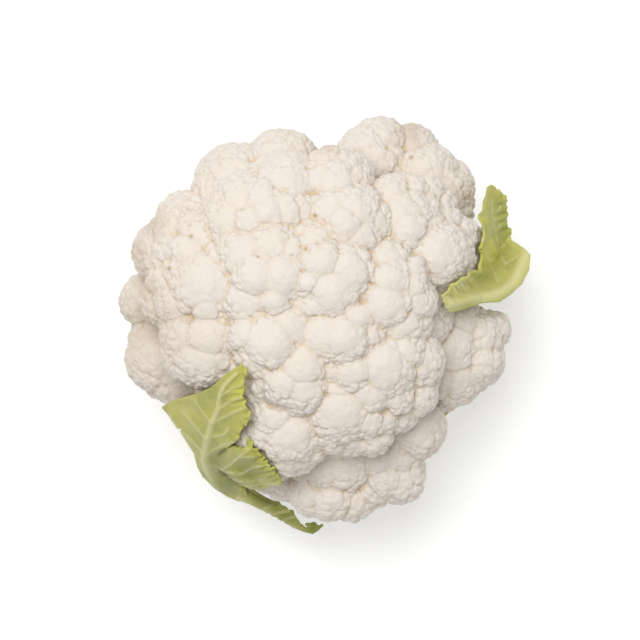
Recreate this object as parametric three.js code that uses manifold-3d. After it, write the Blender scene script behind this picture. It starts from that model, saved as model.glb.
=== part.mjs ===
// A trimmed head of cauliflower, cut side down: a curd of domed florets on a branching stalk,
// two leaves that still lie against it, and the cut bases of its other leaves.
// Millimetres, +Z up. The origin is the middle of the stalk's flat cut face.

import * as THREE from "three";
import { mergeVertices } from "three/addons/utils/BufferGeometryUtils.js";
import Module from "manifold-3d";

const wasm = await Module();
wasm.setup();

// Driving dimensions
const GOLDEN_ANGLE = Math.PI * (3 - Math.sqrt(5));
const GAP = 0.35;

// Each tier of florets follows a dome: its apex, its reach, and the heights of its edge and top.
const CROWN_DOME = { apex: [-3, 8], reach: 76, low: 62, top: 118 };
const SKIRT_DOME = { apex: [0, 0], reach: 94, low: 44, top: 88 };
const LOW_DOME = { apex: [0, 0], reach: 110, low: 30, top: 66 };
const CORE = { across: 55, above: 45, below: 30 };
const HEAD_MIDDLE = new THREE.Vector3(0, 0, 64);
const CURD_DETAIL = 19;

const FLORET_SAG = 5;
const LUMP_DEPTH = 4;
const LUMP_INSET = 5;
const SMALLEST_LUMP = 9;
const FILL_RADIUS = 6.5;
const FILL_SPACING = 10;
const FILL_SINK = 3;
const CORE_FILL_COUNT = 420;
// Share of its radius that a bud keeps free of added buds, and that an added bud keeps free itself.
const BUD_ROOM = 0.75;
const FILL_ROOM = 0.55;
const LUMP_MARGIN = 1;

// Florets that face up: one row for each floret, with its buds as [x, y, radius].
const CROWN_FLORETS = [
  [[-12, 59, 8.5], [-19.5, 59.5, 4.5]],
  [[2.5, 56, 6], [14.5, 60.5, 7.5], [5, 64.5, 5]],
  [[-30.5, 50, 7.5], [-20.5, 49.5, 6], [-35.5, 40, 7], [-26.5, 39.5, 4],
    [-17.5, 43.5, 5], [-10.5, 44.5, 5], [-4.5, 45, 4.5]],
  [[5.5, 46, 6.5], [17, 46, 6.5], [26, 41, 5.5], [11.5, 39, 5], [19, 33, 5.5]],
  [[37, 45, 9], [31, 52.5, 5.5], [40, 53.5, 4], [47, 53, 4],
    [53, 47, 4], [55, 40, 5], [47.5, 37, 4], [37.5, 35.5, 5]],
  [[47, 27, 7.5], [56.5, 30, 4.5], [60, 37, 4.5], [60.5, 23.5, 4.5]],
  [[-58.5, 30.5, 7], [-47.5, 37, 4.5], [-43, 33, 5], [-48, 26, 5], [-66.5, 27.5, 6.5]],
  [[-39.5, 15, 9], [-52.5, 21, 5], [-60, 16, 6], [-55.5, 7, 6], [-41, 5, 4.5], [-65, 7, 5]],
  [[-29.5, 29, 7], [-15.5, 31, 7], [-23, 17.5, 6], [-8, 28.5, 4],
    [-11, 17, 7], [-27, 5.5, 6.5], [-15, 7, 4.5], [-41, 25, 4.5]],
  [[-1, 34, 6], [2.5, 25, 5.5], [15.5, 21, 7], [8, 11, 7], [0, 5.5, 4], [-3, 14.5, 3], [23, 13, 3.5]],
  [[29.5, 26.5, 6], [31, 17, 6], [40.5, 21, 4], [40, 14.5, 4], [42.5, 8, 5], [29.5, 7, 7], [37, -3, 7]],
  [[-50, -4, 7], [-40, -4.5, 6.5], [-41.5, -15, 7.5], [-53.5, -15, 6]],
  [[-28.5, -5.5, 5.5], [-18.5, -9.5, 7.5], [-9, -1.5, 7], [-23, -16, 6]],
  [[1, -7, 7], [19, 3, 5], [13, -8, 6], [23.5, -6, 5]],
  [[-5.5, -18, 7], [-13, -26, 5.5], [-5, -29, 6.5], [-21.5, -25, 4]],
  [[5, -18, 4], [13.5, -19, 6], [28.5, -18, 8], [37.5, -11.5, 5],
    [44.5, -16, 6], [21, -29.5, 5.5], [33, -31, 5], [43, -31, 5]],
  [[8.5, -35, 8.5], [22, -40, 5], [29.5, -39, 4], [36.5, -37, 4.5], [24, -47.5, 5], [5.5, -47.5, 4]],
  [[-9, -46, 7.5], [-17, -36.5, 5], [-21, -45, 3.5], [-8.5, -55, 6], [-1.5, -52, 4.5],
    [-26.5, -48.5, 4]],
];

// Florets of the lower tier, which ring the crown.
const SKIRT_FLORETS = [
  [[-32, 63, 9], [-42.5, 55, 7]],
  [[-14.5, 69, 8]],
  [[23, 68.5, 9], [27, 76.5, 6], [33, 62, 5]],
  [[39.5, 74.5, 5.5], [47.5, 63.5, 7.5], [57, 52, 7], [60.5, 42.5, 4.5]],
  [[-57, 43, 6], [-49, 43, 6.5]],
  [[-72.5, 9, 5.5]],
  [[-68.5, -4.5, 6], [-68, -15.5, 7.5], [-57.5, -25.5, 8.5]],
  [[-47, -38, 7.5], [-38, -50, 7.5]],
  [[-23, -58, 7.5]],
  [[59, -10.5, 8], [59.5, -27, 7], [70.5, -5, 6], [75, -2, 4], [70.5, -17.5, 5.5], [61, 1, 6],
    [50.5, -25, 5], [50, -7, 5]],
  [[63, 17, 7], [62, 33, 7]],
  [[11, -62.5, 9]],
  [[25.5, -58.5, 5], [37, -56.5, 7], [29.5, -66.5, 5], [22.5, -70.5, 5], [37, -67, 5.5]],
  [[-3, -73.5, 5], [7, -75, 5], [18.5, -75, 5]],
  [[44.5, -47.5, 6.5]],
];

// Florets lower still, which show between the lobes of the left leaf.
const LOW_FLORETS = [[[-18.5, -64.5, 5.5], [-10.5, -67.5, 5.5]]];

// Rings of florets on the flank and underside, as even steps round the axis.
const FLANK_RINGS = [
  { count: 14, reach: 54, height: 50, radius: 11 },
  { count: 10, reach: 42, height: 38, radius: 9 },
];

// Stalk: [height, radius] up its axis, and the branches that carry the lower florets.
const STALK_PROFILE = [[0, 17], [1.5, 18.5], [14, 19], [28, 20], [40, 22]];
const STALK_SIDES = 16;
const BRANCH_COUNT = 10;
const BRANCH_PATH = [[6, 20], [24, 31], [40, 42], [52, 50]];
const BRANCH_RADII = [7, 6, 5, 4];
const BRANCH_STEPS = 3;
const BRANCH_SIDES = 6;

// Leaves
const BLADE_EDGE = 0.8;
const BLADE_MIDDLE = 1.5;
const BLADE_WAVE = 0.7;
const WAVE_TURN = 2.4;
const CLEARING_ROUNDS = 3;
const PETIOLE_SIDES = 8;

// Blade of the left leaf: rows from the petiole up to the cut edge, each from its left to its right margin.
// A blade's steps are those along its rows' order and those across each row.
const LEFT_BLADE = [
  [[-46, -60.5, 48], [-43, -61, 46], [-40.5, -62, 46], [-36, -63.5, 48], [-31, -66, 50]],
  [[-49, -52.5, 64], [-45.5, -54, 66], [-42.5, -55, 68], [-37.5, -55.5, 71], [-32, -56.5, 75]],
  [[-53, -45, 72], [-47.5, -46.5, 78], [-42.5, -47.5, 82], [-37, -47.5, 87], [-31, -47, 93]],
  [[-57, -39, 77], [-49, -39.5, 86], [-39.5, -39.5, 94], [-33, -39, 99], [-27, -37.5, 105]],
  [[-59, -35, 79.5], [-49.5, -33, 91], [-37, -33, 101], [-31, -31, 106], [-27, -29, 109]],
  [[-60.5, -33.5, 81], [-51.5, -31, 92], [-40.5, -26.5, 104], [-33.5, -21, 111], [-28, -17, 114]],
];
const LEFT_BLADE_STEPS = [11, 10];
const LEFT_FLAP = [
  [[-37, -50.5, 82], [-31, -49.5, 89], [-26, -47, 95]],
  [[-39, -55, 72], [-30.5, -54.5, 83], [-20.5, -52.5, 93]],
  [[-37, -59.5, 61], [-27, -59.5, 76], [-16.5, -59, 90]],
  [[-30.5, -65.5, 54], [-22.5, -66.5, 65], [-13, -65, 80]],
];
const LEFT_FLAP_STEPS = [6, 6];
const LEFT_STRIP = [
  [[-36, -62.5, 49], [-35, -65, 41]],
  [[-28, -66.5, 49], [-29, -71.5, 42]],
  [[-21, -69, 47], [-22.5, -74, 41]],
  [[-13.5, -73, 45], [-15, -77, 39]],
  [[-7, -77, 43], [-8.5, -81.5, 38]],
  [[-1, -81, 42], [-3, -85, 38]],
  [[2.5, -83.5, 41], [1, -85.5, 39]],
];
const LEFT_STRIP_STEPS = [8, 2];
// Petioles: points from the stalk outwards, then [half width, half thickness] at each point.
const LEFT_PETIOLE = [
  [-6, -13, 12], [-17, -39, 18], [-27, -59, 29], [-36, -64, 42], [-42, -59.5, 56],
  [-43, -52, 71], [-40, -44, 86], [-37.5, -35, 99], [-35, -26.5, 106.5], [-30.5, -20.5, 112],
];
const LEFT_SECTIONS = [
  [8, 5], [11, 5], [10.5, 5], [8.5, 4.5], [6, 3.5], [4, 2.6], [2.8, 2], [2, 1.6], [1.4, 1.2], [0.9, 0.9],
];
const LEFT_PETIOLE_STEPS = 18;

// Blade of the right leaf: rows from its rib to its tip, each from the outer margin to the curd.
const RIGHT_BLADE = [
  [[86, 25, 60], [83.5, 17, 66], [75, 9.5, 74], [63, 7, 83], [52, 6, 92]],
  [[81.5, 31, 56], [78, 26, 57], [73, 19.5, 64], [65, 15, 77], [57, 14, 92]],
  [[78.5, 39, 55], [75.5, 35, 57], [71.5, 29.5, 63], [67, 25.5, 75], [63.5, 23, 86]],
  [[76.5, 46.5, 58], [73.5, 43, 60], [71, 39, 65], [68, 36, 72], [65.5, 33, 78]],
  [[71.5, 53, 62], [70.5, 53.5, 63], [69, 53.5, 65], [68.5, 52, 67], [67, 48.5, 70]],
];
const RIGHT_BLADE_STEPS = [10, 10];
const RIGHT_PETIOLE = [
  [13, 4, 12], [40, 12, 18], [63, 20, 29], [79, 24.5, 42], [85, 24, 55],
  [82.5, 16, 66], [75, 10, 74], [63, 7.4, 83.5], [53, 6.2, 91.5],
];
const RIGHT_SECTIONS = [
  [8, 5], [11, 5], [10, 5], [8, 4.4], [5.5, 3.6], [4, 3], [3, 2.4], [2.4, 2], [1.8, 1.6],
];
const RIGHT_PETIOLE_STEPS = 16;

// Cut bases of the other leaves: the angle at the stalk and where the cut end lies.
const LEAF_BASES = [
  { angle: 155, end: [-46, 30, 27] },
  { angle: 292.5, end: [44.5, -53.5, 42] },
  { angle: 70, end: [18, 50, 26] },
  { angle: 207.5, end: [-47, -24, 26] },
  { angle: 345, end: [51.5, -36.5, 44] },
];
// A base leaves the stalk through these points, as [reach from the axis, height], and turns to its cut end.
const BASE_START = [[13, 11], [28, 13]];
const BASE_TURN = [40, 16];
const BASE_SECTIONS = [[7, 5], [11, 5], [12, 4.5], [10, 3]];
const BASE_STEPS = 6;
const BASE_SIDES = 10;

// Finish of each piece, by how its name starts.
const FINISHES = {
  curd: { color: 0xefe8db, roughness: 0.75 },
  stalk: { color: 0xd9dcb4, roughness: 0.6 },
  leaf_base: { color: 0xc6cf8e, roughness: 0.55 },
  leaf: { color: 0xb9c268, roughness: 0.5 },
};

// Solids

function solidOf(geometry) {
  geometry.deleteAttribute("normal");
  geometry.deleteAttribute("uv");
  const merged = mergeVertices(geometry);
  const vertProperties = new Float32Array(merged.attributes.position.array);
  const triVerts = new Uint32Array(merged.index.array);
  return new wasm.Manifold(new wasm.Mesh({ numProp: 3, vertProperties, triVerts }));
}

function geometryOf(solid) {
  const mesh = solid.getMesh();
  const geometry = new THREE.BufferGeometry();
  geometry.setAttribute("position", new THREE.BufferAttribute(mesh.vertProperties, 3));
  geometry.setIndex(new THREE.BufferAttribute(mesh.triVerts, 1));
  geometry.computeVertexNormals();
  return geometry;
}

function joined(solids) {
  return solids.reduce((whole, piece) => whole.add(piece));
}

function largestBody(solid) {
  const bodies = solid.decompose();
  return bodies.reduce((best, body) => (body.volume() > best.volume() ? body : best));
}

// Curd

function domeHeight(dome, x, y) {
  const offset = Math.hypot(x - dome.apex[0], y - dome.apex[1]) / dome.reach;
  return dome.low + (dome.top - dome.low) * Math.sqrt(Math.max(0, 1 - offset * offset));
}

// A floret's buds stand on a lump; both are balls. Buds sag towards the floret's edge.
function floretBalls(dome, rows) {
  const middle = new THREE.Vector2();
  let weight = 0;
  for (const [x, y, radius] of rows) {
    middle.addScaledVector(new THREE.Vector2(x, y), radius * radius);
    weight += radius * radius;
  }
  middle.divideScalar(weight);
  const spans = rows.map(([x, y, radius]) => Math.hypot(x - middle.x, y - middle.y) + radius / 2);
  const spread = Math.max(SMALLEST_LUMP, ...spans);
  const buds = rows.map(([x, y, radius]) => {
    const away = Math.hypot(x - middle.x, y - middle.y) / spread;
    const top = domeHeight(dome, x, y) - FLORET_SAG * away * away;
    return { at: new THREE.Vector3(x, y, top - radius), radius };
  });
  const edge = Math.max(...rows.map(([x, y, radius]) => Math.hypot(x, y) + radius)) - LUMP_INSET;
  middle.clampLength(0, Math.max(0, edge - spread));
  const lumpHeight = domeHeight(dome, middle.x, middle.y) - LUMP_DEPTH - spread;
  const lump = { at: new THREE.Vector3(middle.x, middle.y, lumpHeight), radius: spread };
  return { lump, buds };
}

function ringLumps({ count, reach, height, radius }, ring) {
  return Array.from({ length: count }, (_, i) => {
    const angle = ((i + ring / 2) / count) * 2 * Math.PI;
    const at = new THREE.Vector3(reach * Math.cos(angle), reach * Math.sin(angle), height);
    return { at, radius };
  });
}

function insideCore(point) {
  const offset = point.clone().sub(HEAD_MIDDLE);
  return offset.length() < coreReach(offset.clone().normalize());
}

function goldenDirections(count) {
  return Array.from({ length: count }, (_, k) => {
    const rise = 1 - (2 * k + 1) / count;
    const round = Math.sqrt(1 - rise * rise);
    const turn = k * GOLDEN_ANGLE;
    return new THREE.Vector3(round * Math.cos(turn), round * Math.sin(turn), rise);
  });
}

// Buds by rule on what the rows leave bare: golden-angle spirals round each lump and the core.
function fillBuds(lumps, buds) {
  const filled = [...buds];
  const isTaken = (at) => filled.some(
    (bud) => at.distanceTo(bud.at) < BUD_ROOM * bud.radius + FILL_ROOM * FILL_RADIUS);
  const inLump = (skin, own) => lumps.some(
    (lump) => lump !== own && skin.distanceTo(lump.at) < lump.radius + LUMP_MARGIN);
  for (const lump of lumps) {
    const count = Math.round((4 * Math.PI * lump.radius ** 2) / FILL_SPACING ** 2);
    for (const direction of goldenDirections(count)) {
      const at = lump.at.clone().addScaledVector(direction, lump.radius - FILL_SINK);
      const skin = at.clone().addScaledVector(direction, FILL_RADIUS);
      if (!inLump(skin, lump) && !isTaken(at) && !insideCore(skin)) {
        filled.push({ at, radius: FILL_RADIUS });
      }
    }
  }
  for (const direction of goldenDirections(CORE_FILL_COUNT)) {
    const reach = coreReach(direction) - FILL_SINK;
    const at = HEAD_MIDDLE.clone().addScaledVector(direction, reach);
    const skin = HEAD_MIDDLE.clone().addScaledVector(direction, reach + FILL_RADIUS);
    if (direction.z > 0 && !inLump(skin, null) && !isTaken(at)) {
      filled.push({ at, radius: FILL_RADIUS });
    }
  }
  return filled;
}

// How far the outermost ball or the core reaches along a direction from the head's middle.
function curdReach(direction, balls) {
  let reach = coreReach(direction);
  for (const { at, radius } of balls) {
    const toBall = at.clone().sub(HEAD_MIDDLE);
    const along = toBall.dot(direction);
    const aside = toBall.lengthSq() - along * along;
    if (aside < radius * radius) {
      reach = Math.max(reach, along + Math.sqrt(radius * radius - aside));
    }
  }
  return reach;
}

function coreReach({ x, y, z }) {
  return 1 / Math.hypot(x / CORE.across, y / CORE.across, z / (z > 0 ? CORE.above : CORE.below));
}

// The curd's skin: an even ball of triangles, raised to the outermost bud in every direction.
function curdSkin(balls) {
  const skin = new THREE.IcosahedronGeometry(1, CURD_DETAIL);
  const places = skin.attributes.position;
  const direction = new THREE.Vector3();
  for (let k = 0; k < places.count; k += 1) {
    direction.fromBufferAttribute(places, k).normalize();
    const point = HEAD_MIDDLE.clone().addScaledVector(direction, curdReach(direction, balls));
    places.setXYZ(k, ...point.toArray());
  }
  return solidOf(skin);
}

// Stems and blades

// A closed stem along a smooth path, with an oval section whose width lies across the head's radius.
function stemSolid(points, sections, steps, sides, grow = 0) {
  const path = new THREE.CatmullRomCurve3(points.map((point) => new THREE.Vector3(...point)));
  const widths = new THREE.SplineCurve(sections.map((section) => new THREE.Vector2(...section)));
  const vertices = [];
  const triangles = [];
  for (let i = 0; i <= steps; i += 1) {
    const t = i / steps;
    const middle = path.getPoint(t);
    const along = path.getTangent(t);
    const outward = middle.clone().sub(HEAD_MIDDLE).normalize();
    const side = along.clone().cross(outward).normalize();
    const face = side.clone().cross(along).normalize();
    const half = widths.getPoint(t).addScalar(grow);
    for (let k = 0; k < sides; k += 1) {
      const angle = (k / sides) * 2 * Math.PI;
      const point = middle.clone()
        .addScaledVector(side, half.x * Math.cos(angle))
        .addScaledVector(face, half.y * Math.sin(angle));
      vertices.push(...point.toArray());
    }
  }
  for (let i = 0; i < steps; i += 1) {
    for (let k = 0; k < sides; k += 1) {
      const here = i * sides + k;
      const next = i * sides + ((k + 1) % sides);
      triangles.push(here, next, next + sides, here, next + sides, here + sides);
    }
  }
  const last = steps * sides;
  for (let k = 1; k < sides - 1; k += 1) {
    triangles.push(0, k + 1, k, last, last + k, last + k + 1);
  }
  const geometry = new THREE.BufferGeometry();
  geometry.setAttribute("position", new THREE.Float32BufferAttribute(vertices, 3));
  geometry.setIndex(triangles);
  return outwardSolid(geometry);
}

// The solid of a mesh whose faces may all point in: those are turned round.
function outwardSolid(geometry) {
  const solid = solidOf(geometry);
  if (solid.volume() > 0) {
    return solid;
  }
  const index = Array.from(geometry.index.array);
  for (let k = 0; k < index.length; k += 3) {
    [index[k], index[k + 1]] = [index[k + 1], index[k]];
  }
  geometry.setIndex(index);
  return solidOf(geometry);
}

// A smooth surface through rows of points, sampled on an even grid.
function surfaceGrid(rows, rowSteps, columnSteps) {
  const acrossCurves = rows.map(
    (row) => new THREE.CatmullRomCurve3(row.map((point) => new THREE.Vector3(...point))));
  const grid = [];
  for (let j = 0; j <= columnSteps; j += 1) {
    const along = new THREE.CatmullRomCurve3(acrossCurves.map((curve) => curve.getPoint(j / columnSteps)));
    grid.push(Array.from({ length: rowSteps + 1 }, (_, i) => along.getPoint(i / rowSteps)));
  }
  return grid;
}

// Moves points that would be inside the curd's balls out to a clear distance.
function bendClear(grid, balls, clearance) {
  for (const point of grid.flat()) {
    for (let round = 0; round < CLEARING_ROUNDS; round += 1) {
      for (const ball of balls) {
        const away = point.clone().sub(ball.at);
        const reach = ball.radius + clearance;
        if (away.length() < reach) {
          point.copy(ball.at).addScaledVector(away.normalize(), reach);
        }
      }
    }
  }
}

// A blade of even triangles on both faces, waved towards its margins and thinner there.
function bladeSolid(rows, [rowSteps, columnSteps], balls, grow = 0) {
  const grid = surfaceGrid(rows, rowSteps, columnSteps);
  bendClear(grid, balls, BLADE_MIDDLE);
  const normals = grid.map((column, j) => column.map((_, i) => {
    const alongRow = grid[j][Math.min(i + 1, rowSteps)].clone().sub(grid[j][Math.max(i - 1, 0)]);
    const acrossRow = grid[Math.min(j + 1, columnSteps)][i].clone().sub(grid[Math.max(j - 1, 0)][i]);
    return acrossRow.cross(alongRow).normalize();
  }));
  const perFace = (rowSteps + 1) * (columnSteps + 1);
  const vertices = [];
  for (const face of [1, -1]) {
    for (let j = 0; j <= columnSteps; j += 1) {
      for (let i = 0; i <= rowSteps; i += 1) {
        const margin = Math.abs((2 * j) / columnSteps - 1);
        const thickness = THREE.MathUtils.lerp(BLADE_MIDDLE, BLADE_EDGE, margin) + 2 * grow;
        const wave = BLADE_WAVE * margin * Math.sin(i * WAVE_TURN + j);
        const offset = wave + (face * thickness) / 2;
        vertices.push(...grid[j][i].clone().addScaledVector(normals[j][i], offset).toArray());
      }
    }
  }
  const triangles = [];
  const at = (j, i) => j * (rowSteps + 1) + i;
  for (let j = 0; j < columnSteps; j += 1) {
    for (let i = 0; i < rowSteps; i += 1) {
      const [a, b, c, d] = [at(j, i), at(j + 1, i), at(j + 1, i + 1), at(j, i + 1)];
      triangles.push(a, b, c, a, c, d);
      triangles.push(a + perFace, c + perFace, b + perFace, a + perFace, d + perFace, c + perFace);
    }
  }
  const rim = [];
  for (let i = 0; i < rowSteps; i += 1) {
    rim.push(at(0, i));
  }
  for (let j = 0; j < columnSteps; j += 1) {
    rim.push(at(j, rowSteps));
  }
  for (let i = rowSteps; i > 0; i -= 1) {
    rim.push(at(columnSteps, i));
  }
  for (let j = columnSteps; j > 0; j -= 1) {
    rim.push(at(j, 0));
  }
  rim.forEach((here, k) => {
    const next = rim[(k + 1) % rim.length];
    triangles.push(here, next, next + perFace, here, next + perFace, here + perFace);
  });
  const geometry = new THREE.BufferGeometry();
  geometry.setAttribute("position", new THREE.Float32BufferAttribute(vertices, 3));
  geometry.setIndex(triangles);
  return outwardSolid(geometry);
}

// Pieces

const crown = CROWN_FLORETS.map((rows) => floretBalls(CROWN_DOME, rows));
const skirt = SKIRT_FLORETS.map((rows) => floretBalls(SKIRT_DOME, rows));
const low = LOW_FLORETS.map((rows) => floretBalls(LOW_DOME, rows));
const florets = [...crown, ...skirt, ...low];
const lumps = [...florets.map((floret) => floret.lump), ...FLANK_RINGS.flatMap(ringLumps)];
const buds = fillBuds(lumps, florets.flatMap((floret) => floret.buds));
const balls = [...lumps, ...buds];

function stalkSolid(grow = 0) {
  const profile = STALK_PROFILE.map(([height, radius]) => new THREE.Vector2(radius + grow, height));
  profile.unshift(new THREE.Vector2(0, -grow));
  profile.push(new THREE.Vector2(0, STALK_PROFILE.at(-1)[0] + grow));
  profile[1].y -= grow;
  profile.at(-2).y += grow;
  const trunk = new THREE.LatheGeometry(profile, STALK_SIDES);
  trunk.rotateX(Math.PI / 2);
  const branches = Array.from({ length: BRANCH_COUNT }, (_, i) => {
    const angle = (i / BRANCH_COUNT) * 2 * Math.PI;
    const points = BRANCH_PATH.map(([out, up]) => [out * Math.cos(angle), out * Math.sin(angle), up]);
    const sections = BRANCH_RADII.map((radius) => [radius, radius]);
    return stemSolid(points, sections, BRANCH_STEPS, BRANCH_SIDES, grow);
  });
  return joined([outwardSolid(trunk), ...branches]);
}

function leftLeaf(grow = 0) {
  return joined([
    stemSolid(LEFT_PETIOLE, LEFT_SECTIONS, LEFT_PETIOLE_STEPS, PETIOLE_SIDES, grow),
    bladeSolid(LEFT_BLADE, LEFT_BLADE_STEPS, balls, grow),
    bladeSolid(LEFT_FLAP, LEFT_FLAP_STEPS, balls, grow),
    bladeSolid(LEFT_STRIP, LEFT_STRIP_STEPS, balls, grow),
  ]);
}

function rightLeaf(grow = 0) {
  return joined([
    stemSolid(RIGHT_PETIOLE, RIGHT_SECTIONS, RIGHT_PETIOLE_STEPS, PETIOLE_SIDES, grow),
    bladeSolid(RIGHT_BLADE, RIGHT_BLADE_STEPS, balls, grow),
  ]);
}

function leafBase({ angle, end }, grow = 0) {
  const turn = THREE.MathUtils.degToRad(angle);
  const place = ([out, up]) => [out * Math.cos(turn), out * Math.sin(turn), up];
  const middle = place(BASE_TURN).map((value, k) => THREE.MathUtils.lerp(value, end[k], 1 / 3));
  const points = [...BASE_START.map(place), middle, end];
  return stemSolid(points, BASE_SECTIONS, BASE_STEPS, BASE_SIDES, grow);
}

// Each piece is cut clear of those before it: stalk, leaves, leaf bases, and last the curd.
const stalk = stalkSolid();
const pieces = { stalk };
let taken = stalkSolid(GAP);

function placeClear(name, build) {
  pieces[name] = largestBody(build(0).subtract(taken));
  taken = taken.add(build(GAP));
}

placeClear("leaf_left", leftLeaf);
placeClear("leaf_right", rightLeaf);
LEAF_BASES.forEach((base, i) => placeClear(`leaf_base_${i + 1}`, (grow) => leafBase(base, grow)));
pieces.curd = largestBody(curdSkin(balls).subtract(taken));

const cauliflower = new THREE.Group();

function addPiece(name, solid, finish) {
  const material = new THREE.MeshStandardMaterial({ ...finish, metalness: 0 });
  const mesh = new THREE.Mesh(geometryOf(solid), material);
  mesh.name = name;
  cauliflower.add(mesh);
}

for (const [name, solid] of Object.entries(pieces)) {
  const finish = Object.entries(FINISHES).find(([start]) => name.startsWith(start))[1];
  addPiece(name, solid, finish);
}

export default cauliflower;
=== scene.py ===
"""A trimmed head of cauliflower: its curd, stalk, two leaves and cut leaf bases, on a pale floor."""

import math

import bmesh
import bpy
import numpy as np
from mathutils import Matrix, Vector
from mathutils.geometry import delaunay_2d_cdt


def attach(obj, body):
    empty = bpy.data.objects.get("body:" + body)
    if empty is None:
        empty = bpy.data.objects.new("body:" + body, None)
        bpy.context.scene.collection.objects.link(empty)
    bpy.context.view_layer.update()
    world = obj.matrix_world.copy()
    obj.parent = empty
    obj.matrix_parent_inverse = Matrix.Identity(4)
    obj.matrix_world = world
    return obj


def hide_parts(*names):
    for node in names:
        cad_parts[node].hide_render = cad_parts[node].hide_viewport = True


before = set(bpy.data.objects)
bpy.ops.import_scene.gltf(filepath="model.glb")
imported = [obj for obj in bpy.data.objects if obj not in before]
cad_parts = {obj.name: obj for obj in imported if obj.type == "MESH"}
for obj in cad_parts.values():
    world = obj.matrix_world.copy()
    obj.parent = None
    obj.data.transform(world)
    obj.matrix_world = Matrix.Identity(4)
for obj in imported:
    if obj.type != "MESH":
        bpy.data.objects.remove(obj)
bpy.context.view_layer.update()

bl_info = {
    "name": "Cauliflower",
    "version": (1, 0, 0),
    "blender": (4, 5, 0),
    "location": "View3D > Sidebar > Cauliflower",
    "description": "Makes a trimmed head of cauliflower from its florets, stalk and leaves",
    "category": "Object",
}

# Shapes below are in millimetres, +Z up, from the middle of the stalk's cut face.
MM = 0.001
GOLDEN_ANGLE = math.pi * (3 - math.sqrt(5))
HEAD_MIDDLE = np.array((0.0, 0.0, 64.0))
UP = (0.0, 0.0, 1.0)
WHITE = (1, 1, 1, 1)
# Points that are nearer than this count as this far apart.
SMALLEST_GAP = 1e-6

# Each tier of florets follows a dome: its apex, its reach, and the heights of its edge and top.
CROWN_DOME = {"apex": (-3, 8), "reach": 76, "low": 62, "top": 118}
SKIRT_DOME = {"apex": (0, 0), "reach": 94, "low": 44, "top": 88}
LOW_DOME = {"apex": (0, 0), "reach": 110, "low": 30, "top": 66}
CORE_ACROSS = 55
CORE_ABOVE = 45
CORE_BELOW = 30

# A floret's outer buds sag, and a lump lies under them. Buds by rule fill what the rows leave bare.
FLORET_SAG = 7
LUMP_DEPTH = 6
LUMP_INSET = 5
SMALLEST_LUMP = 9
FILL_RADIUS = 6.5
FILL_SPACING = 10
FILL_SINK = 3
CORE_FILL_COUNT = 420
# Room that buds keep, as shares of the old bud's and the new bud's radius, and the margin round a lump.
BUD_ROOM = 0.75
FILL_ROOM = 0.55
LUMP_MARGIN = 1
# A bud points away from its lump's middle, raised by this.
BUD_RAISE = (0, 0, 6)

# Florets that face up: one row for each floret, with its buds as (x, y, radius).
CROWN_FLORETS = (
    ((-12, 59, 8.5), (-19.5, 59.5, 4.5)),
    ((2.5, 56, 6), (14.5, 60.5, 7.5), (5, 64.5, 5)),
    ((-30.5, 50, 7.5), (-20.5, 49.5, 6), (-35.5, 40, 7), (-26.5, 39.5, 4),
     (-17.5, 43.5, 5), (-10.5, 44.5, 5), (-4.5, 45, 4.5)),
    ((5.5, 46, 6.5), (17, 46, 6.5), (26, 41, 5.5), (11.5, 39, 5), (19, 33, 5.5)),
    ((37, 45, 9), (31, 52.5, 5.5), (40, 53.5, 4), (47, 53, 4),
     (53, 47, 4), (55, 40, 5), (47.5, 37, 4), (37.5, 35.5, 5)),
    ((47, 27, 7.5), (56.5, 30, 4.5), (60, 37, 4.5), (60.5, 23.5, 4.5)),
    ((-58.5, 30.5, 7), (-47.5, 37, 4.5), (-43, 33, 5), (-48, 26, 5), (-66.5, 27.5, 6.5)),
    ((-39.5, 15, 9), (-52.5, 21, 5), (-60, 16, 6), (-55.5, 7, 6), (-41, 5, 4.5), (-65, 7, 5)),
    ((-29.5, 29, 7), (-15.5, 31, 7), (-23, 17.5, 6), (-8, 28.5, 4),
     (-11, 17, 7), (-27, 5.5, 6.5), (-15, 7, 4.5), (-41, 25, 4.5)),
    ((-1, 34, 6), (2.5, 25, 5.5), (15.5, 21, 7), (8, 11, 7), (0, 5.5, 4), (-3, 14.5, 3), (23, 13, 3.5)),
    ((29.5, 26.5, 6), (31, 17, 6), (40.5, 21, 4), (40, 14.5, 4), (42.5, 8, 5), (29.5, 7, 7), (37, -3, 7)),
    ((-50, -4, 7), (-40, -4.5, 6.5), (-41.5, -15, 7.5), (-53.5, -15, 6)),
    ((-28.5, -5.5, 5.5), (-18.5, -9.5, 7.5), (-9, -1.5, 7), (-23, -16, 6)),
    ((1, -7, 7), (19, 3, 5), (13, -8, 6), (23.5, -6, 5)),
    ((-5.5, -18, 7), (-13, -26, 5.5), (-5, -29, 6.5), (-21.5, -25, 4)),
    ((5, -18, 4), (13.5, -19, 6), (28.5, -18, 8), (37.5, -11.5, 5),
     (44.5, -16, 6), (21, -29.5, 5.5), (33, -31, 5), (43, -31, 5)),
    ((8.5, -35, 8.5), (22, -40, 5), (29.5, -39, 4), (36.5, -37, 4.5), (24, -47.5, 5), (5.5, -47.5, 4)),
    ((-9, -46, 7.5), (-17, -36.5, 5), (-21, -45, 3.5), (-8.5, -55, 6), (-1.5, -52, 4.5), (-26.5, -48.5, 4)),
)

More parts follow.
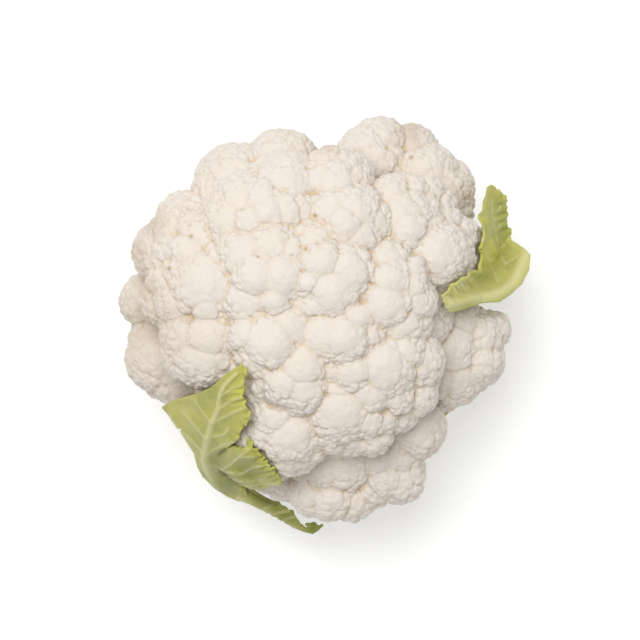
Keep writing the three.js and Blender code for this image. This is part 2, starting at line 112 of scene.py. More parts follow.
# Florets of the lower tier, which ring the crown.
SKIRT_FLORETS = (
    ((-32, 63, 9), (-42.5, 55, 7)),
    ((-14.5, 69, 8),),
    ((18.5, 66, 5.5), (27, 67, 6), (21.5, 73.5, 5.5), (29, 75.5, 6), (33, 62, 5), (15.5, 71.5, 4)),
    ((39.5, 74.5, 5.5), (47.5, 63.5, 7.5), (57, 52, 7), (60.5, 42.5, 4.5)),
    ((-57, 43, 6), (-49, 43, 6.5)),
    ((-72.5, 9, 5.5),),
    ((-68.5, -4.5, 6), (-68, -15.5, 7.5), (-57.5, -25.5, 8.5)),
    ((-47, -38, 7.5), (-38, -50, 7.5)),
    ((-23, -58, 7.5),),
    ((59, -10.5, 8), (59.5, -27, 7), (70.5, -5, 6), (75, -2, 4), (70.5, -17.5, 5.5), (61, 1, 6),
     (50.5, -25, 5), (50, -7, 5)),
    ((63, 17, 7), (62, 33, 7)),
    ((11, -62.5, 9),),
    ((25.5, -58.5, 5), (37, -56.5, 7), (29.5, -66.5, 5), (22.5, -70.5, 5), (37, -67, 5.5)),
    ((-3, -73.5, 5), (7, -75, 5), (18.5, -75, 5)),
    ((44.5, -47.5, 6.5),),
)

# Florets lower still, which show between the lobes of the left leaf.
LOW_FLORETS = (
    ((-18.5, -64.5, 5.5), (-10.5, -67.5, 5.5)),
)

# Rings of florets on the flank and underside: count, reach from the axis, height and radius.
FLANK_RINGS = ((14, 54, 50, 11), (10, 42, 38, 9))
# Balls that fill the middle of the curd: count, reach from the axis, height and radius.
CORE_RINGS = ((16, 31, 66, 24), (8, 16, 74, 32))

# Each bud is the cap of a ball this many times the bud's own radius, so that buds meet in narrow creases.
BUD_BREADTH = 2.0
# From the first of these reaches to the second, such a ball is drawn in, to keep to the bud's own outline.
OUTLINE_ZONE = (60, 70)
# Small buds fill what is left: their radius, their spacing, and how far they sink into the lump.
GAP_RADIUS = 3.4
GAP_SPACING = 4.4
GAP_SINK = 2.2

# Creases between buds: their depth and breadth, the cells that buds are looked up in, and how far, in cells,
# a lookup reaches.
CREASE_DEPTH = 0.2
CREASE_BREADTH = 0.3
CREASE_CELL = 14
CELL_REACH = 1.1

# The curd's skin: the threshold of its volume, and rounds of smoothing for the skin and for the lie round it.
SKIN_THRESHOLD = 0.1
SKIN_ROUNDS = 4
LIE_ROUNDS = 50
# Lobes and grain grow with depth on the head, and as the skin turns from the lie round it or from upright.
SIDE_LEVELS = (92 * MM, 72 * MM)
SIDE_SHARES = (0.25, 0.55)
LIE_LIMITS = (0.995, 0.93)
UPRIGHT_LIMITS = (0.97, 0.72)
# Lobes and grain are caps on cells that wander: how far and over what distance they do, and the caps' height.
WANDER_REACH = 1.2 * MM
WANDER_SIZE = 4 * MM
CAP_HEIGHT = 0.3
# Distance over which the buds swell unevenly, and the value that noise lies round.
SWELL_SIZE = 9 * MM
NOISE_MEAN = 0.5
# Hollows noted for painted light and shade, each with the rounds of smoothing that it is measured against.
HOLLOWS = (("crease", 10), ("valley", 90))
# Depths between which painted light sets in: a painted highlight on ridges, and painted shade in
# creases, valleys and pits. A ridge is a crease turned outwards.
RIDGE_LIGHT = (-0.02, -0.16)
CREASE_SHADE = (0.04, 0.28)
VALLEY_SHADE = (0.2, 1.2)
PIT_SHADE = (1.0, 2.2)
CURD_FINISH = {"Roughness": 0.62, "Specular IOR Level": 0.28}

# The curd's skin is split into this many sectors round its axis, so that each stays a light mesh.
CURD_SECTORS = 7

# Marks on the curd above this level: small brown specks and soft stains, as (x, y, radius, strength).
MARK_LEVEL = 50
SPECKS = (
    (-57.25, 20.75, 0.9, 0.85), (0.5, 41.5, 0.8, 0.85), (-48.5, 33.5, 0.8, 0.85), (-22, 25.25, 0.6, 0.85),
    (38.75, 65.5, 0.8, 0.85), (-3.25, 28.5, 0.5, 0.85),
)
STAINS = (
    (-63.5, 38.5, 6, 0.36), (-71, 27.5, 6, 0.36), (-66.5, 12.5, 6, 0.36), (38.5, 75.5, 6, 0.36),
    (4.75, 70.5, 4, 0.36), (60.5, 50.5, 5, 0.36), (-68, -4, 20, 0.22), (-58, -30, 16, 0.14),
)

# Stalk: (height, radius) up its axis, and the branches that carry the lower florets.
STALK_PROFILE = ((0, 17), (0.6, 17.9), (1.5, 18.4), (7, 18.9), (14, 19), (28, 20), (40, 22))
STALK_STEPS = 39
STALK_SIDES = 96
# Ribs round the stalk, as (count, height, start), and the height up to which its cut face is pale.
STALK_RIBS = ((7, 0.02, 0), (13, 0.012, 1))
CUT_HEIGHT = 0.3
BRANCH_COUNT = 10
BRANCH_PATH = ((6, 20), (24, 31), (40, 42), (52, 50))
BRANCH_RADII = (7, 6, 5, 4)
BRANCH_STEPS = 24
BRANCH_SIDES = 28
# Ribs along a stem, as (count, height), and how its grain is drawn out along the axis.
BRANCH_RIBS = (5, 0.05)
STEM_STRETCH = (1, 1, 0.25)
STEM_FINISH = {
    "Roughness": 0.48, "Subsurface Weight": 0.2, "Subsurface Radius": (0.8, 0.9, 0.35),
    "Subsurface Scale": 2 * MM,
}

# Leaf blades: the spacing of their mesh, how loosely it follows its heights, its room from the edge in
# spacings, the reach within which points merge, and rounds of moving it clear of the curd.
BLADE_SPACING = 0.55
PLATE_EASE = 2.0
EDGE_ROOM = 0.45
MERGE_REACH = 1e-5
CLEARING_ROUNDS = 3
# The triangulation keeps only what is inside the outline.
INSIDE_ONLY = 1
# Their teeth, ruffles, margins, veins, puffed fields between veins, and folds.
TOOTH_LENGTH = 2.3
RUFFLE_LENGTH = 4.6
RUFFLE_HEIGHT = 0.7
MARGIN_BREADTH = 1.8
VEIN_BREADTH = 0.33
VEIN_RISE = 0.6
PUFF_BREADTH = 1.6
PUFF_RISE = 0.4
FOLD_BREADTH = 1.0
FOLD_DEPTH = 1.2
RIB_STEPS = 40
# Teeth and ruffles drift by (amount, rate along the edge). Teeth vary in height by (mean, change, two rates).
TOOTH_DRIFT = (0.9, 0.37)
RUFFLE_DRIFT = (1.3, 0.21)
TOOTH_HEIGHTS = (0.65, 0.5, 1.9, 0.73)
# Colour on a blade: paleness of its veins, how far the painted shade of dark patches dims its rib, and
# pleats' (rate, most) of painted shade in their troughs.
VEIN_PALENESS = 0.95
RIB_DIMMING = 0.7
PLEAT_TINT = (1.2, 0.8)
LEAF_FINISH = {
    "Roughness": 0.45, "Specular IOR Level": 0.35, "Subsurface Weight": 0.2,
    "Subsurface Radius": (0.6, 0.8, 0.15), "Subsurface Scale": 1.2 * MM,
}

# A blade's ragged stretches are (first, last, tooth height), by the outline's points. Its pleats are
# (x, y, reach, angle, spacing, height), and its patches of colour (name, x, y, reach, strength); the
# dark green and shade patches are painted shade.

# Left leaf, from above, its outer side showing.
LEFT_BLADE = {
    "outline": (
        (-60.5, -34.5), (-56.5, -32), (-51.25, -30.5), (-46, -28.75), (-40.75, -26.5), (-35.25, -21.5),
        (-31.25, -18.75), (-28.5, -17.25), (-26, -20), (-27.5, -23.25), (-27.25, -26), (-28, -29.25),
        (-27.25, -32.5), (-26, -35.25), (-24.75, -38), (-26, -40), (-28.5, -42.5), (-29.5, -44.75),
        (-30, -46.75), (-32.5, -48.75), (-35.25, -51.25), (-32.75, -50), (-29.5, -50), (-26.75, -50),
        (-26.5, -46.5), (-24, -47.5), (-22.5, -50.5), (-21.25, -52.75), (-18.5, -56.5), (-16, -58.75),
        (-14, -61.5), (-13.5, -63.5), (-12.75, -64.5), (-16.5, -66), (-20.5, -67.25), (-24.75, -67.25),
        (-28.75, -66), (-27.25, -69.5), (-27.25, -72.5), (-30.5, -72.75), (-35.25, -70.75), (-40, -67.25),
        (-44.75, -62.75), (-46.75, -58.75), (-48, -52.75), (-50.5, -48.75), (-53, -44), (-52.6, -42.4),
        (-54.4, -42.6), (-57.5, -37.5),
    ),
    "heights": (
        (-46, -60.5, 48), (-40.5, -62, 50), (-31, -66, 50), (-49, -52.5, 64), (-42.5, -55, 68),
        (-32, -56.5, 75), (-53, -45, 72), (-47.5, -46.5, 78), (-42.5, -47.5, 82), (-37, -47.5, 87),
        (-31, -47, 93), (-57, -39, 77), (-49, -39.5, 86), (-39.5, -39.5, 94), (-33, -39, 99),
        (-27, -37.5, 105), (-59, -35, 79.5), (-49.5, -33, 91), (-37, -33, 101), (-27, -29, 109),
        (-60.5, -33.5, 81), (-51.5, -31, 92), (-40.5, -26.5, 104), (-33.5, -21, 111), (-28, -17, 114),
        (-26, -47, 95), (-20.5, -52.5, 93), (-27, -59.5, 76), (-16.5, -59, 90), (-22.5, -66.5, 65),
        (-13, -65, 80), (-30, -72, 38), (-38, -68, 40),
    ),
    "midrib": (
        (-38, -66), (-42, -60), (-43.25, -54.75), (-42.75, -50), (-40, -40), (-37.5, -34.5), (-36.75, -29.25),
        (-34.5, -24.75), (-30.5, -20.75),
    ),
    "ragged": ((7, 18, 0.5), (22, 33, 0.55)),
    "rib_breadth": (1.8, 0.45),
    "rib_height": 1.3,
    "veins": (
        ((-42.5, -45.5), (-35.25, -44.5), (-33.5, -42)),
        ((-43.25, -52.75), (-37.25, -49.5), (-31.5, -47.25)),
        ((-38.75, -60), (-32.5, -56.5), (-29.5, -53.5), (-24, -53.5)),
        ((-37.25, -59.25), (-28.75, -60.5), (-23.5, -57.5), (-18, -57.2)),
        ((-36, -62.75), (-28.75, -63.5), (-24.5, -63.5), (-18.5, -62)),
        ((-27, -65.6), (-22, -64.8), (-14, -64)),
        ((-31, -55), (-27, -51.5), (-24.5, -50)),
        ((-40, -40), (-32.75, -36.5), (-27.5, -34)),
        ((-37.5, -34.5), (-31.25, -30.75), (-28.5, -30)),
        ((-36.75, -29.25), (-32, -26.5), (-28.5, -25.25)),
        ((-42.5, -46.75), (-47.5, -40.5), (-52, -35.5)),
        ((-40, -40), (-44.5, -34.75), (-46.5, -30.75)),
        ((-43.25, -52.5), (-48, -47.5), (-53.25, -42.75), (-57, -37)),
    ),
    "folds": (((-38, -60), (-34, -63.5), (-28.4, -66.6)), ((-35.5, -51.5), (-37.5, -53))),
    "pleats": (
        (-17.5, -58.5, 6, 16, 2.1, 0.55), (-28.5, -30, 5, 12, 2.6, 0.35), (-20, -63.5, 5, 14, 2.4, 0.35),
    ),
    "patches": (
        ("shaded_green", -37, -63.5, 7, 1), ("shaded_green", -26.5, -59.5, 7, 1), ("shaded_green", -39, -55.5, 4.5, 0.8),
        ("shade", -34, -66.5, 4.5, 0.5), ("shade", -40, -57, 3, 0.25), ("shade", -26, -60, 5, 0.2),
        ("bright", -29, -28, 4.5, 0.7), ("bright", -17.5, -57, 4, 0.35), ("bright", -24.5, -50, 3, 0.6),
        ("bright", -56, -36, 4, 0.4), ("pale", -50, -33, 6, 0.2),
    ),
    "raised": 1.0,
    "clearance": 1.5,
}

# Petioles: their mesh and ribs, the shares of their length between which painted shade darkens them to
# a deeper green towards the blade, and how far.
PETIOLE_STEPS = 90
PETIOLE_SIDES = 80
PETIOLE_RIBS = (13, 0.025)
PETIOLE_GREENS = (0.35, 0.85)
PETIOLE_SHADE = 0.8
# Streaks along a petiole, as (count, strength, start) round a mean.
STREAK_MEAN = 0.25
STREAKS = ((7, 0.15, 0), (17, 0.1, 1))
# A petiole's path from the stalk, and its half width and half thickness along it.
LEFT_PETIOLE = (
    (-6, -13, 12), (-17, -39, 17), (-27, -58, 27), (-33.5, -62, 38), (-36.5, -58.5, 49), (-38.5, -51.5, 60),
)
LEFT_SECTIONS = ((8, 5), (11, 5), (10.5, 5), (8.5, 4), (6, 2.5), (3, 0.8))

# Torn strip low on the left leaf.
STRIP = {
    "outline": (
        (-29.5, -66.75), (-24.75, -68), (-22, -70.5), (-18.5, -72.75), (-15.5, -73.25), (-12.75, -74.5),
        (-8.5, -76.75), (-7, -79.8), (-5.7, -81.7), (-4.4, -82.8), (-3.5, -83.8), (-2.8, -83.3), (-3, -82.6),
        (-3.7, -82.1), (-2.8, -81.6), (-0.8, -81.6), (1.5, -82.3), (3.4, -82.75), (2, -84.2), (-0.5, -85.8),
        (-4, -85), (-8, -83.2), (-13.25, -80), (-19.5, -76.5), (-26, -73.25), (-31.25, -71.25),
    ),
    "heights": (
        (-30, -67, 50), (-31, -71, 43), (-22, -70.5, 47), (-22.5, -75, 41), (-13.5, -74, 45), (-15, -79, 39),
        (-6, -80, 43), (-8, -83.5, 38), (1, -82, 42), (-1, -85.5, 39),
    ),
    "midrib": ((-31, -70.5), (-22, -74.5), (-14, -78.6), (-7, -82.8)),
    "ragged": ((14, 18, 0.25),),
    "rib_breadth": (1.2, 0.5),
    "rib_height": 0.6,
    "veins": (
        ((-20, -75), (-17.5, -74.5), (-15, -73.8)),
        ((-16, -77.4), (-13, -76.6), (-10, -76)),
        ((-12, -79.6), (-9.5, -79), (-7.5, -78.6)),
    ),
    "folds": (((-27.5, -68.2), (-22.5, -71.2), (-18.5, -73.4), (-15, -74.2)),),
    "pleats": ((-13, -77, 7, 20, 2.4, 0.3),),
    "patches": (("shaded_green", 0, -83.5, 5, 1), ("shaded_green", -12, -78.5, 8, 1), ("shaded_green", -22, -73, 6, 0.9),
                ("shade", 0, -83.5, 4, 0.35), ("shade", -12, -78.5, 8, 0.25)),
    "raised": 0.8,
    "clearance": 1.0,
}

# Right leaf, from above, its inner side showing.
RIGHT_BLADE = {
    "outline": (
        (70.75, 54.5), (69.25, 53.5), (68.75, 50.5), (67.5, 47.5), (67.25, 44), (65.5, 42.5), (65.5, 35.5),
        (65.5, 33.5), (64.75, 28.75), (64.5, 24), (63.5, 20.75), (60, 19.5), (56, 16), (52.75, 12.5),
        (50.5, 9.5), (51.5, 5.5), (53.5, 3.5), (59.5, 4.75), (66, 6.75), (74, 7.5), (78.75, 10.5),
        (83.25, 14.75), (86, 20), (86.75, 25.5), (84.5, 28.5), (82, 30.5), (78.75, 32.5), (78.75, 36.75),
        (76.75, 38.5), (77.5, 42.5), (76.5, 45.25), (77.25, 47.5), (75.5, 51.25), (74, 51.5), (72.75, 53.5),
    ),
    "heights": (
        (86, 25, 60), (83.5, 17, 66), (75, 9.5, 74), (63, 7, 83), (52, 6, 92),
        (81.5, 31, 56), (78, 26, 57), (73, 19.5, 64), (65, 15, 77), (57, 14, 92),
        (78.5, 39, 55), (75.5, 35, 57), (71.5, 29.5, 63), (67, 25.5, 75), (63.5, 23, 86),
        (76.5, 46.5, 58), (73.5, 43, 60), (71, 39, 65), (68, 36, 72), (65.5, 33, 78),
        (71.5, 53, 62), (69, 53.5, 65), (67, 48.5, 70),
    ),
    "midrib": (
        (84.8, 25.5), (83.2, 21.5), (81, 17), (77.4, 12.8), (73, 10.4), (65.7, 8.9), (58, 8), (52.5, 6.2),
    ),
    "ragged": ((10, 15, 0.3), (26, 34, 0.4)),
    "rib_breadth": (2.6, 1.6),
    "rib_height": -2.6,
    "veins": (
        ((76.4, 22.6), (79.5, 24.3), (82.5, 25.7), (86, 26.4)),
        ((76.4, 22.6), (74.5, 26), (74, 28.5), (76, 31), (78, 33)),
        ((74, 28.5), (71.5, 38.5), (70.75, 48.5)),
        ((72.5, 36), (75, 39.5), (76.6, 41)),
        ((71.4, 42), (74, 45.5), (75.6, 48)),
        ((74.5, 10), (72, 18.5), (68.5, 26.5), (66.75, 34.5)),
        ((66, 8.5), (64, 13), (62.5, 18.5)),
        ((61, 7.4), (59, 11.5), (58, 16)),
        ((57, 6.8), (55.2, 9.5), (54, 12.4)),
    ),
    "folds": (),
    "pleats": ((57, 13.5, 5, 122, 1.7, 0.4), (76.5, 42, 5, 20, 3.4, 0.7)),
    "patches": (
        ("bright", 57.5, 14, 5, 0.9), ("bright", 67.6, 40.4, 2.4, 1), ("bright", 68.5, 28, 6, 0.9),
        ("shaded_green", 75.5, 37, 4, 0.6), ("shaded_green", 74.5, 45, 4, 0.5), ("shaded_green", 76.5, 28, 4, 0.4),
        ("pale", 53, 7.5, 4.5, 1), ("pale", 57.5, 14, 5, 0.6), ("shaded_green", 60, 5.8, 3, 0.3),
    ),
    "raised": -0.7,
    "clearance": 2.2,
}
RIGHT_PETIOLE = (
    (13, 4, 12), (40, 12, 17), (63, 20, 28), (77, 24, 40), (82.5, 22.5, 52), (80.5, 15.5, 62),
)
RIGHT_SECTIONS = ((8, 5), (11, 5), (10.5, 5), (8.5, 4), (6, 2.6), (3, 0.9))

# Cut bases of the other leaves: the angle at the stalk and where the cut end lies.
LEAF_BASES = (
    (155, (-46, 30, 27)),
    (292.5, (44.5, -53.5, 42)),
    (70, (18, 50, 26)),
    (207.5, (-47, -24, 26)),
    (345, (51.5, -36.5, 44)),
)
# A base leaves the stalk through these points, as (reach from the axis, height), and turns to its cut end.
BASE_START = ((13, 11), (28, 13))
BASE_TURN = (40, 16)
BASE_SECTIONS = ((7, 5), (11, 5), (12, 4.5), (10, 3))
BASE_STEPS = 40
BASE_SIDES = 48
BASE_RIBS = (9, 0.035)
# Shares of a base's length between which it turns green.
BASE_GREENS = (0.72, 0.92)

# The view from above, in metres: the frame's width at the curd's widest level, and the point at its middle.
FRAME_WIDTH = 0.256
FRAME_LEVEL = 0.062
FRAME_MIDDLE = (0.0024, 0.0004)
LENS_MM = 400
SENSOR_MM = 36

# Stage, in metres: half the floor's width, and the soft light's size, place and aim.
FLOOR_HALF = 3.0
FLOOR_ROUGHNESS = 0.9
KEY_SIZE = 1.0
KEY_PLACE = (-0.24, 0.4, 1.38)
KEY_AIM = (0, 0, 0.06)


class CurdSettings(bpy.types.PropertyGroup):
    """Sizes and colours of the curd."""

    voxel: bpy.props.FloatProperty(
        name="Skin cell", description="Size of the cells that the curd's skin is made of",
        default=0.45 * MM, unit="LENGTH")
    swell: bpy.props.FloatProperty(
        name="Swell", description="Height of the uneven swelling of the buds",
        default=1.2 * MM, unit="LENGTH")
    lobe_size: bpy.props.FloatProperty(
        name="Lobe size", description="Width of the lobes of a bud", default=3.8 * MM, unit="LENGTH")
    lobe_height: bpy.props.FloatProperty(
        name="Lobe height", description="Height of the lobes on the sides of the buds",
        default=1.7 * MM, unit="LENGTH")
    grain_size: bpy.props.FloatProperty(
        name="Grain size", description="Width of the small grains on the buds",
        default=1.6 * MM, unit="LENGTH")
    grain_height: bpy.props.FloatProperty(
        name="Grain height", description="Height of the grains on the sides of the buds",
        default=0.85 * MM, unit="LENGTH")
    ivory: bpy.props.FloatVectorProperty(
        name="Ivory", description="Colour of the buds", subtype="COLOR", size=4,
        default=(0.71, 0.65, 0.585, 1))
    cream: bpy.props.FloatVectorProperty(
        name="Cream", description="Colour of the warmer buds", subtype="COLOR", size=4,
        default=(0.70, 0.625, 0.535, 1))
    # Painted highlight on the ridges of the buds.
    ridge_light: bpy.props.FloatVectorProperty(
        name="White", description="Colour of the ridges", subtype="COLOR", size=4,
        default=(0.74, 0.69, 0.63, 1))
    # Painted warm shade in the creases, valleys and seams between the buds.
    tan: bpy.props.FloatVectorProperty(
        name="Tan", description="Colour in the creases", subtype="COLOR", size=4,
        default=(0.63, 0.50, 0.34, 1))
    # Brown of the real specks and stains, also used as painted shade in the deepest pits.
    stain_and_pit_shade: bpy.props.FloatVectorProperty(
        name="Brown", description="Colour of specks and stains", subtype="COLOR", size=4,
        default=(0.40, 0.26, 0.12, 1))


class LeafSettings(bpy.types.PropertyGroup):
    """Sizes and colours of the leaves and stems."""

    thickness: bpy.props.FloatProperty(
        name="Blade", description="Thickness of the leaf blades", default=0.9 * MM, unit="LENGTH")
    vein_height: bpy.props.FloatProperty(
        name="Vein height", description="How far the veins stand out", default=0.8 * MM, unit="LENGTH")
    green: bpy.props.FloatVectorProperty(
        name="Green", description="Colour of the blade", subtype="COLOR", size=4,
        default=(0.46, 0.44, 0.115, 1))
    dark: bpy.props.FloatVectorProperty(
        name="Dark green", description="Colour of the blade's cloudy parts and of the cut bases' ends",
        subtype="COLOR", size=4, default=(0.31, 0.33, 0.09, 1))
    # Painted shade: the dark green patches, the pleats' troughs and the petioles' upper ends.
    shaded_green: bpy.props.FloatVectorProperty(
        name="Deep green", description="Colour of the darkest patches and of the petioles' upper ends",
        subtype="COLOR", size=4, default=(0.26, 0.28, 0.04, 1))
    bright: bpy.props.FloatVectorProperty(
        name="Yellow green", description="Colour of the margins", subtype="COLOR", size=4,
        default=(0.55, 0.54, 0.09, 1))
    pale: bpy.props.FloatVectorProperty(
        name="Pale", description="Colour of the veins", subtype="COLOR", size=4,
        default=(0.64, 0.61, 0.31, 1))
    # Painted shade inside the folds and in the shade patches.
    shade: bpy.props.FloatVectorProperty(
        name="Fold", description="Colour inside the folds", subtype="COLOR", size=4,
        default=(0.13, 0.14, 0.02, 1))
    stem: bpy.props.FloatVectorProperty(
        name="Stem", description="Colour of the stalk, branches and petioles", subtype="COLOR", size=4,
        default=(0.56, 0.56, 0.28, 1))
    cut: bpy.props.FloatVectorProperty(
        name="Cut", description="Colour of the stalk's cut face", subtype="COLOR", size=4,
        default=(0.80, 0.77, 0.60, 1))


class StageSettings(bpy.types.PropertyGroup):
    """Light and floor."""

    key_power: bpy.props.FloatProperty(
        name="Key light", description="Power of the soft light at the upper left", default=15, unit="POWER")
    sky: bpy.props.FloatProperty(name="Sky", description="Strength of the even light all round", default=0.52)
    floor: bpy.props.FloatVectorProperty(
        name="Floor", description="Colour of the floor", subtype="COLOR", size=4, default=(0.8, 0.8, 0.8, 1))
    glow: bpy.props.FloatProperty(name="Glow", description="Light that the floor gives off", default=0.34)


# Node helpers

def add_node(tree, kind, inputs=None, **settings):
    """Adds a node, sets its properties, and sets or links its inputs by name or place."""
    made = tree.nodes.new(kind)
    for name, value in settings.items():
        setattr(made, name, value)
    for key, value in (inputs or {}).items():
        if isinstance(value, bpy.types.NodeSocket):
            tree.links.new(value, made.inputs[key])
        else:
            made.inputs[key].default_value = value
    return made


def maths(tree, operation, *values):
    return add_node(tree, "ShaderNodeMath", dict(enumerate(values)), operation=operation).outputs[0]


def scaled(tree, value, strength):
    return maths(tree, "MULTIPLY", value, strength)


def vector_maths(tree, operation, *values, result=0):
    made = add_node(tree, "ShaderNodeVectorMath", dict(enumerate(values)), operation=operation)
    return made.outputs[result]


def remap(tree, value, from_low, from_high, to_low=0.0, to_high=1.0):
    made = add_node(
        tree, "ShaderNodeMapRange",
        {"Value": value, "From Min": from_low, "From Max": from_high, "To Min": to_low, "To Max": to_high},
        interpolation_type="SMOOTHSTEP")
    return made.outputs[0]


def mix_colour(tree, factor, first, second):
    made = add_node(
        tree, "ShaderNodeMix", {0: factor, 6: first, 7: second}, data_type="RGBA", clamp_factor=True)
    return made.outputs[2]


def layered(tree, tint, layers):
    """A colour with others laid over it in turn, each as (factor, colour)."""
    for factor, colour in layers:
        tint = mix_colour(tree, factor, tint, colour)
    return tint


def attribute(tree, name):
    return add_node(tree, "ShaderNodeAttribute", attribute_name=name).outputs["Fac"]


def new_material(name):
    """A material with its tree cleared: the tree, its shader and its object coordinates."""
    material = bpy.data.materials.new(name)
    material.use_nodes = True
    tree = material.node_tree
    tree.nodes.clear()
    shader = add_node(tree, "ShaderNodeBsdfPrincipled")
    output = add_node(tree, "ShaderNodeOutputMaterial")
    tree.links.new(shader.outputs[0], output.inputs[0])
    place = add_node(tree, "ShaderNodeTexCoord").outputs["Object"]
    return material, tree, shader, place


def set_finish(shader, values):
    for name, value in values.items():
        shader.inputs[name].default_value = value


def new_tree(name, inputs):
    """A geometry tree with the given inputs, each as (name, socket type), and its inputs' sockets."""
    tree = bpy.data.node_groups.new(name, "GeometryNodeTree")
    tree.interface.new_socket("Geometry", in_out="OUTPUT", socket_type="NodeSocketGeometry")
    tree.interface.new_socket("Geometry", in_out="INPUT", socket_type="NodeSocketGeometry")
    for label, kind in inputs:
        tree.interface.new_socket(label, in_out="INPUT", socket_type=kind)
    return tree, add_node(tree, "NodeGroupInput").outputs


def end_tree(tree, geometry, material):
    real = add_node(tree, "GeometryNodeRealizeInstances", {"Geometry": geometry})
    done = add_node(tree, "GeometryNodeSetMaterial", {"Geometry": real.outputs[0], "Material": material})
    add_node(tree, "NodeGroupOutput", {"Geometry": done.outputs[0]})


def noise(tree, place, size, detail):
    made = add_node(tree, "ShaderNodeTexNoise", {"Vector": place, "Scale": 1 / size, "Detail": detail})
    return made.outputs["Fac"]


def bump(tree, height, depth, strength):
    made = add_node(tree, "ShaderNodeBump", {"Height": height, "Distance": depth, "Strength": strength})
    return made.outputs[0]


# Mesh helpers

def unit(vectors):
    vectors = np.asarray(vectors, float)
    return vectors / np.linalg.norm(vectors, axis=-1, keepdims=True)


def even_turns(count):
    return np.arange(count) / count * 2 * math.pi


def smooth_path(points, count):
    """Points evenly by parameter along a centripetal curve through the given ones."""
    points = np.asarray(points, float)
    ends = np.vstack((2 * points[0] - points[1], points, 2 * points[-1] - points[-2]))
    made = []
    for t in np.linspace(0, len(points) - 1, count):
        k = min(int(t), len(points) - 2)
        p = ends[k:k + 4]
        gaps = np.maximum(np.linalg.norm(np.diff(p, axis=0), axis=1), SMALLEST_GAP)
        knots = np.concatenate(([0], np.cumsum(gaps ** 0.5)))
        s = knots[1] + (t - k) * (knots[2] - knots[1])
        for level in range(1, 4):
            p = np.array([
                ((knots[i + level] - s) * p[i] + (s - knots[i]) * p[i + 1]) / (knots[i + level] - knots[i])
                for i in range(4 - level)])
        made.append(p[0])
    return np.array(made)


def curved(line, count=16):
    return smooth_path(np.c_[line, np.zeros(len(line))], count)[:, :2]


def tube_faces(steps, sides):
    """The faces of a closed tube of rings, with its two ends."""
    faces = []
    for i in range(steps):
        for k in range(sides):
            here, then = i * sides + k, i * sides + (k + 1) % sides
            faces.append((here, then, then + sides, here + sides))
    faces.append(tuple(reversed(range(sides))))
    faces.append(tuple(range(steps * sides, (steps + 1) * sides)))
    return faces


def point_normals(places, triangles):
    """The skin's normal at each point: the mean of its triangles' normals, by area."""
    corners = places[triangles]
    facing = np.cross(corners[:, 1] - corners[:, 0], corners[:, 2] - corners[:, 0])
    total = np.zeros_like(places)
    for corner in triangles.T:
        np.add.at(total, corner, facing)
    return unit(total)


def coordinates(mesh):
    values = np.empty(len(mesh.vertices) * 3)
    mesh.vertices.foreach_get("co", values)
    return values.reshape(-1, 3)


def store_values(mesh, name, values):
    layer = mesh.attributes.new(name, "FLOAT", "POINT")
    layer.data.foreach_set("value", np.asarray(values, np.float32))


def read_values(mesh, name):
    values = np.empty(len(mesh.vertices), np.float32)
    mesh.attributes[name].data.foreach_get("value", values)
    return values


def mesh_of(name, parts, material, values):
    """One mesh from several (points, faces) parts in millimetres, with named values at its points."""
    places = np.vstack([part[0] for part in parts])
    faces = []
    start = 0
    for part in parts:
        faces += [tuple(int(k) + start for k in face) for face in part[1]]
        start += len(part[0])
    mesh = bpy.data.meshes.new(name)
    mesh.from_pydata(places * MM, [], faces)
    for key, value in values.items():
        store_values(mesh, key, value)
    mesh.materials.append(material)
    work = bmesh.new()
    work.from_mesh(mesh)
    bmesh.ops.recalc_face_normals(work, faces=work.faces)
    work.to_mesh(mesh)
    work.free()
    mesh.shade_smooth()
    return mesh


def new_object(name, mesh):
    piece = bpy.data.objects.new(name, mesh)
    bpy.context.scene.collection.objects.link(piece)
    return piece


def set_inputs(modifier, values):
    for item in modifier.node_group.interface.items_tree:
        if item.in_out == "INPUT" and item.name in values:
            modifier[item.identifier] = values[item.name]


def evaluated_mesh(piece, name):
    """The object's mesh with its modifiers applied, as a plain mesh of the given name."""
    graph = bpy.context.evaluated_depsgraph_get()
    mesh = bpy.data.meshes.new_from_object(piece.evaluated_get(graph))
    mesh.name = name
    piece.modifiers.clear()
    piece.data = mesh
    return mesh


def rides(piece, slot, *nodes):
    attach(piece, "root")
    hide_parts(*nodes)


# Curd: a rule for its balls

def dome_height(dome, x, y):
    offset = math.hypot(x - dome["apex"][0], y - dome["apex"][1]) / dome["reach"]
    return dome["low"] + (dome["top"] - dome["low"]) * math.sqrt(max(0, 1 - offset * offset))


def golden_directions(count):
    steps = np.arange(count)
    rise = 1 - (2 * steps + 1) / count
    across = np.sqrt(1 - rise * rise)
    turn = steps * GOLDEN_ANGLE
    return np.stack((across * np.cos(turn), across * np.sin(turn), rise), axis=1)


def core_reach(direction):
    x, y, z = direction
    upright = CORE_ABOVE if z > 0 else CORE_BELOW
    return 1 / math.sqrt((x / CORE_ACROSS) ** 2 + (y / CORE_ACROSS) ** 2 + (z / upright) ** 2)


def inside_core(point):
    offset = point - HEAD_MIDDLE
    return np.linalg.norm(offset) < core_reach(unit(offset))


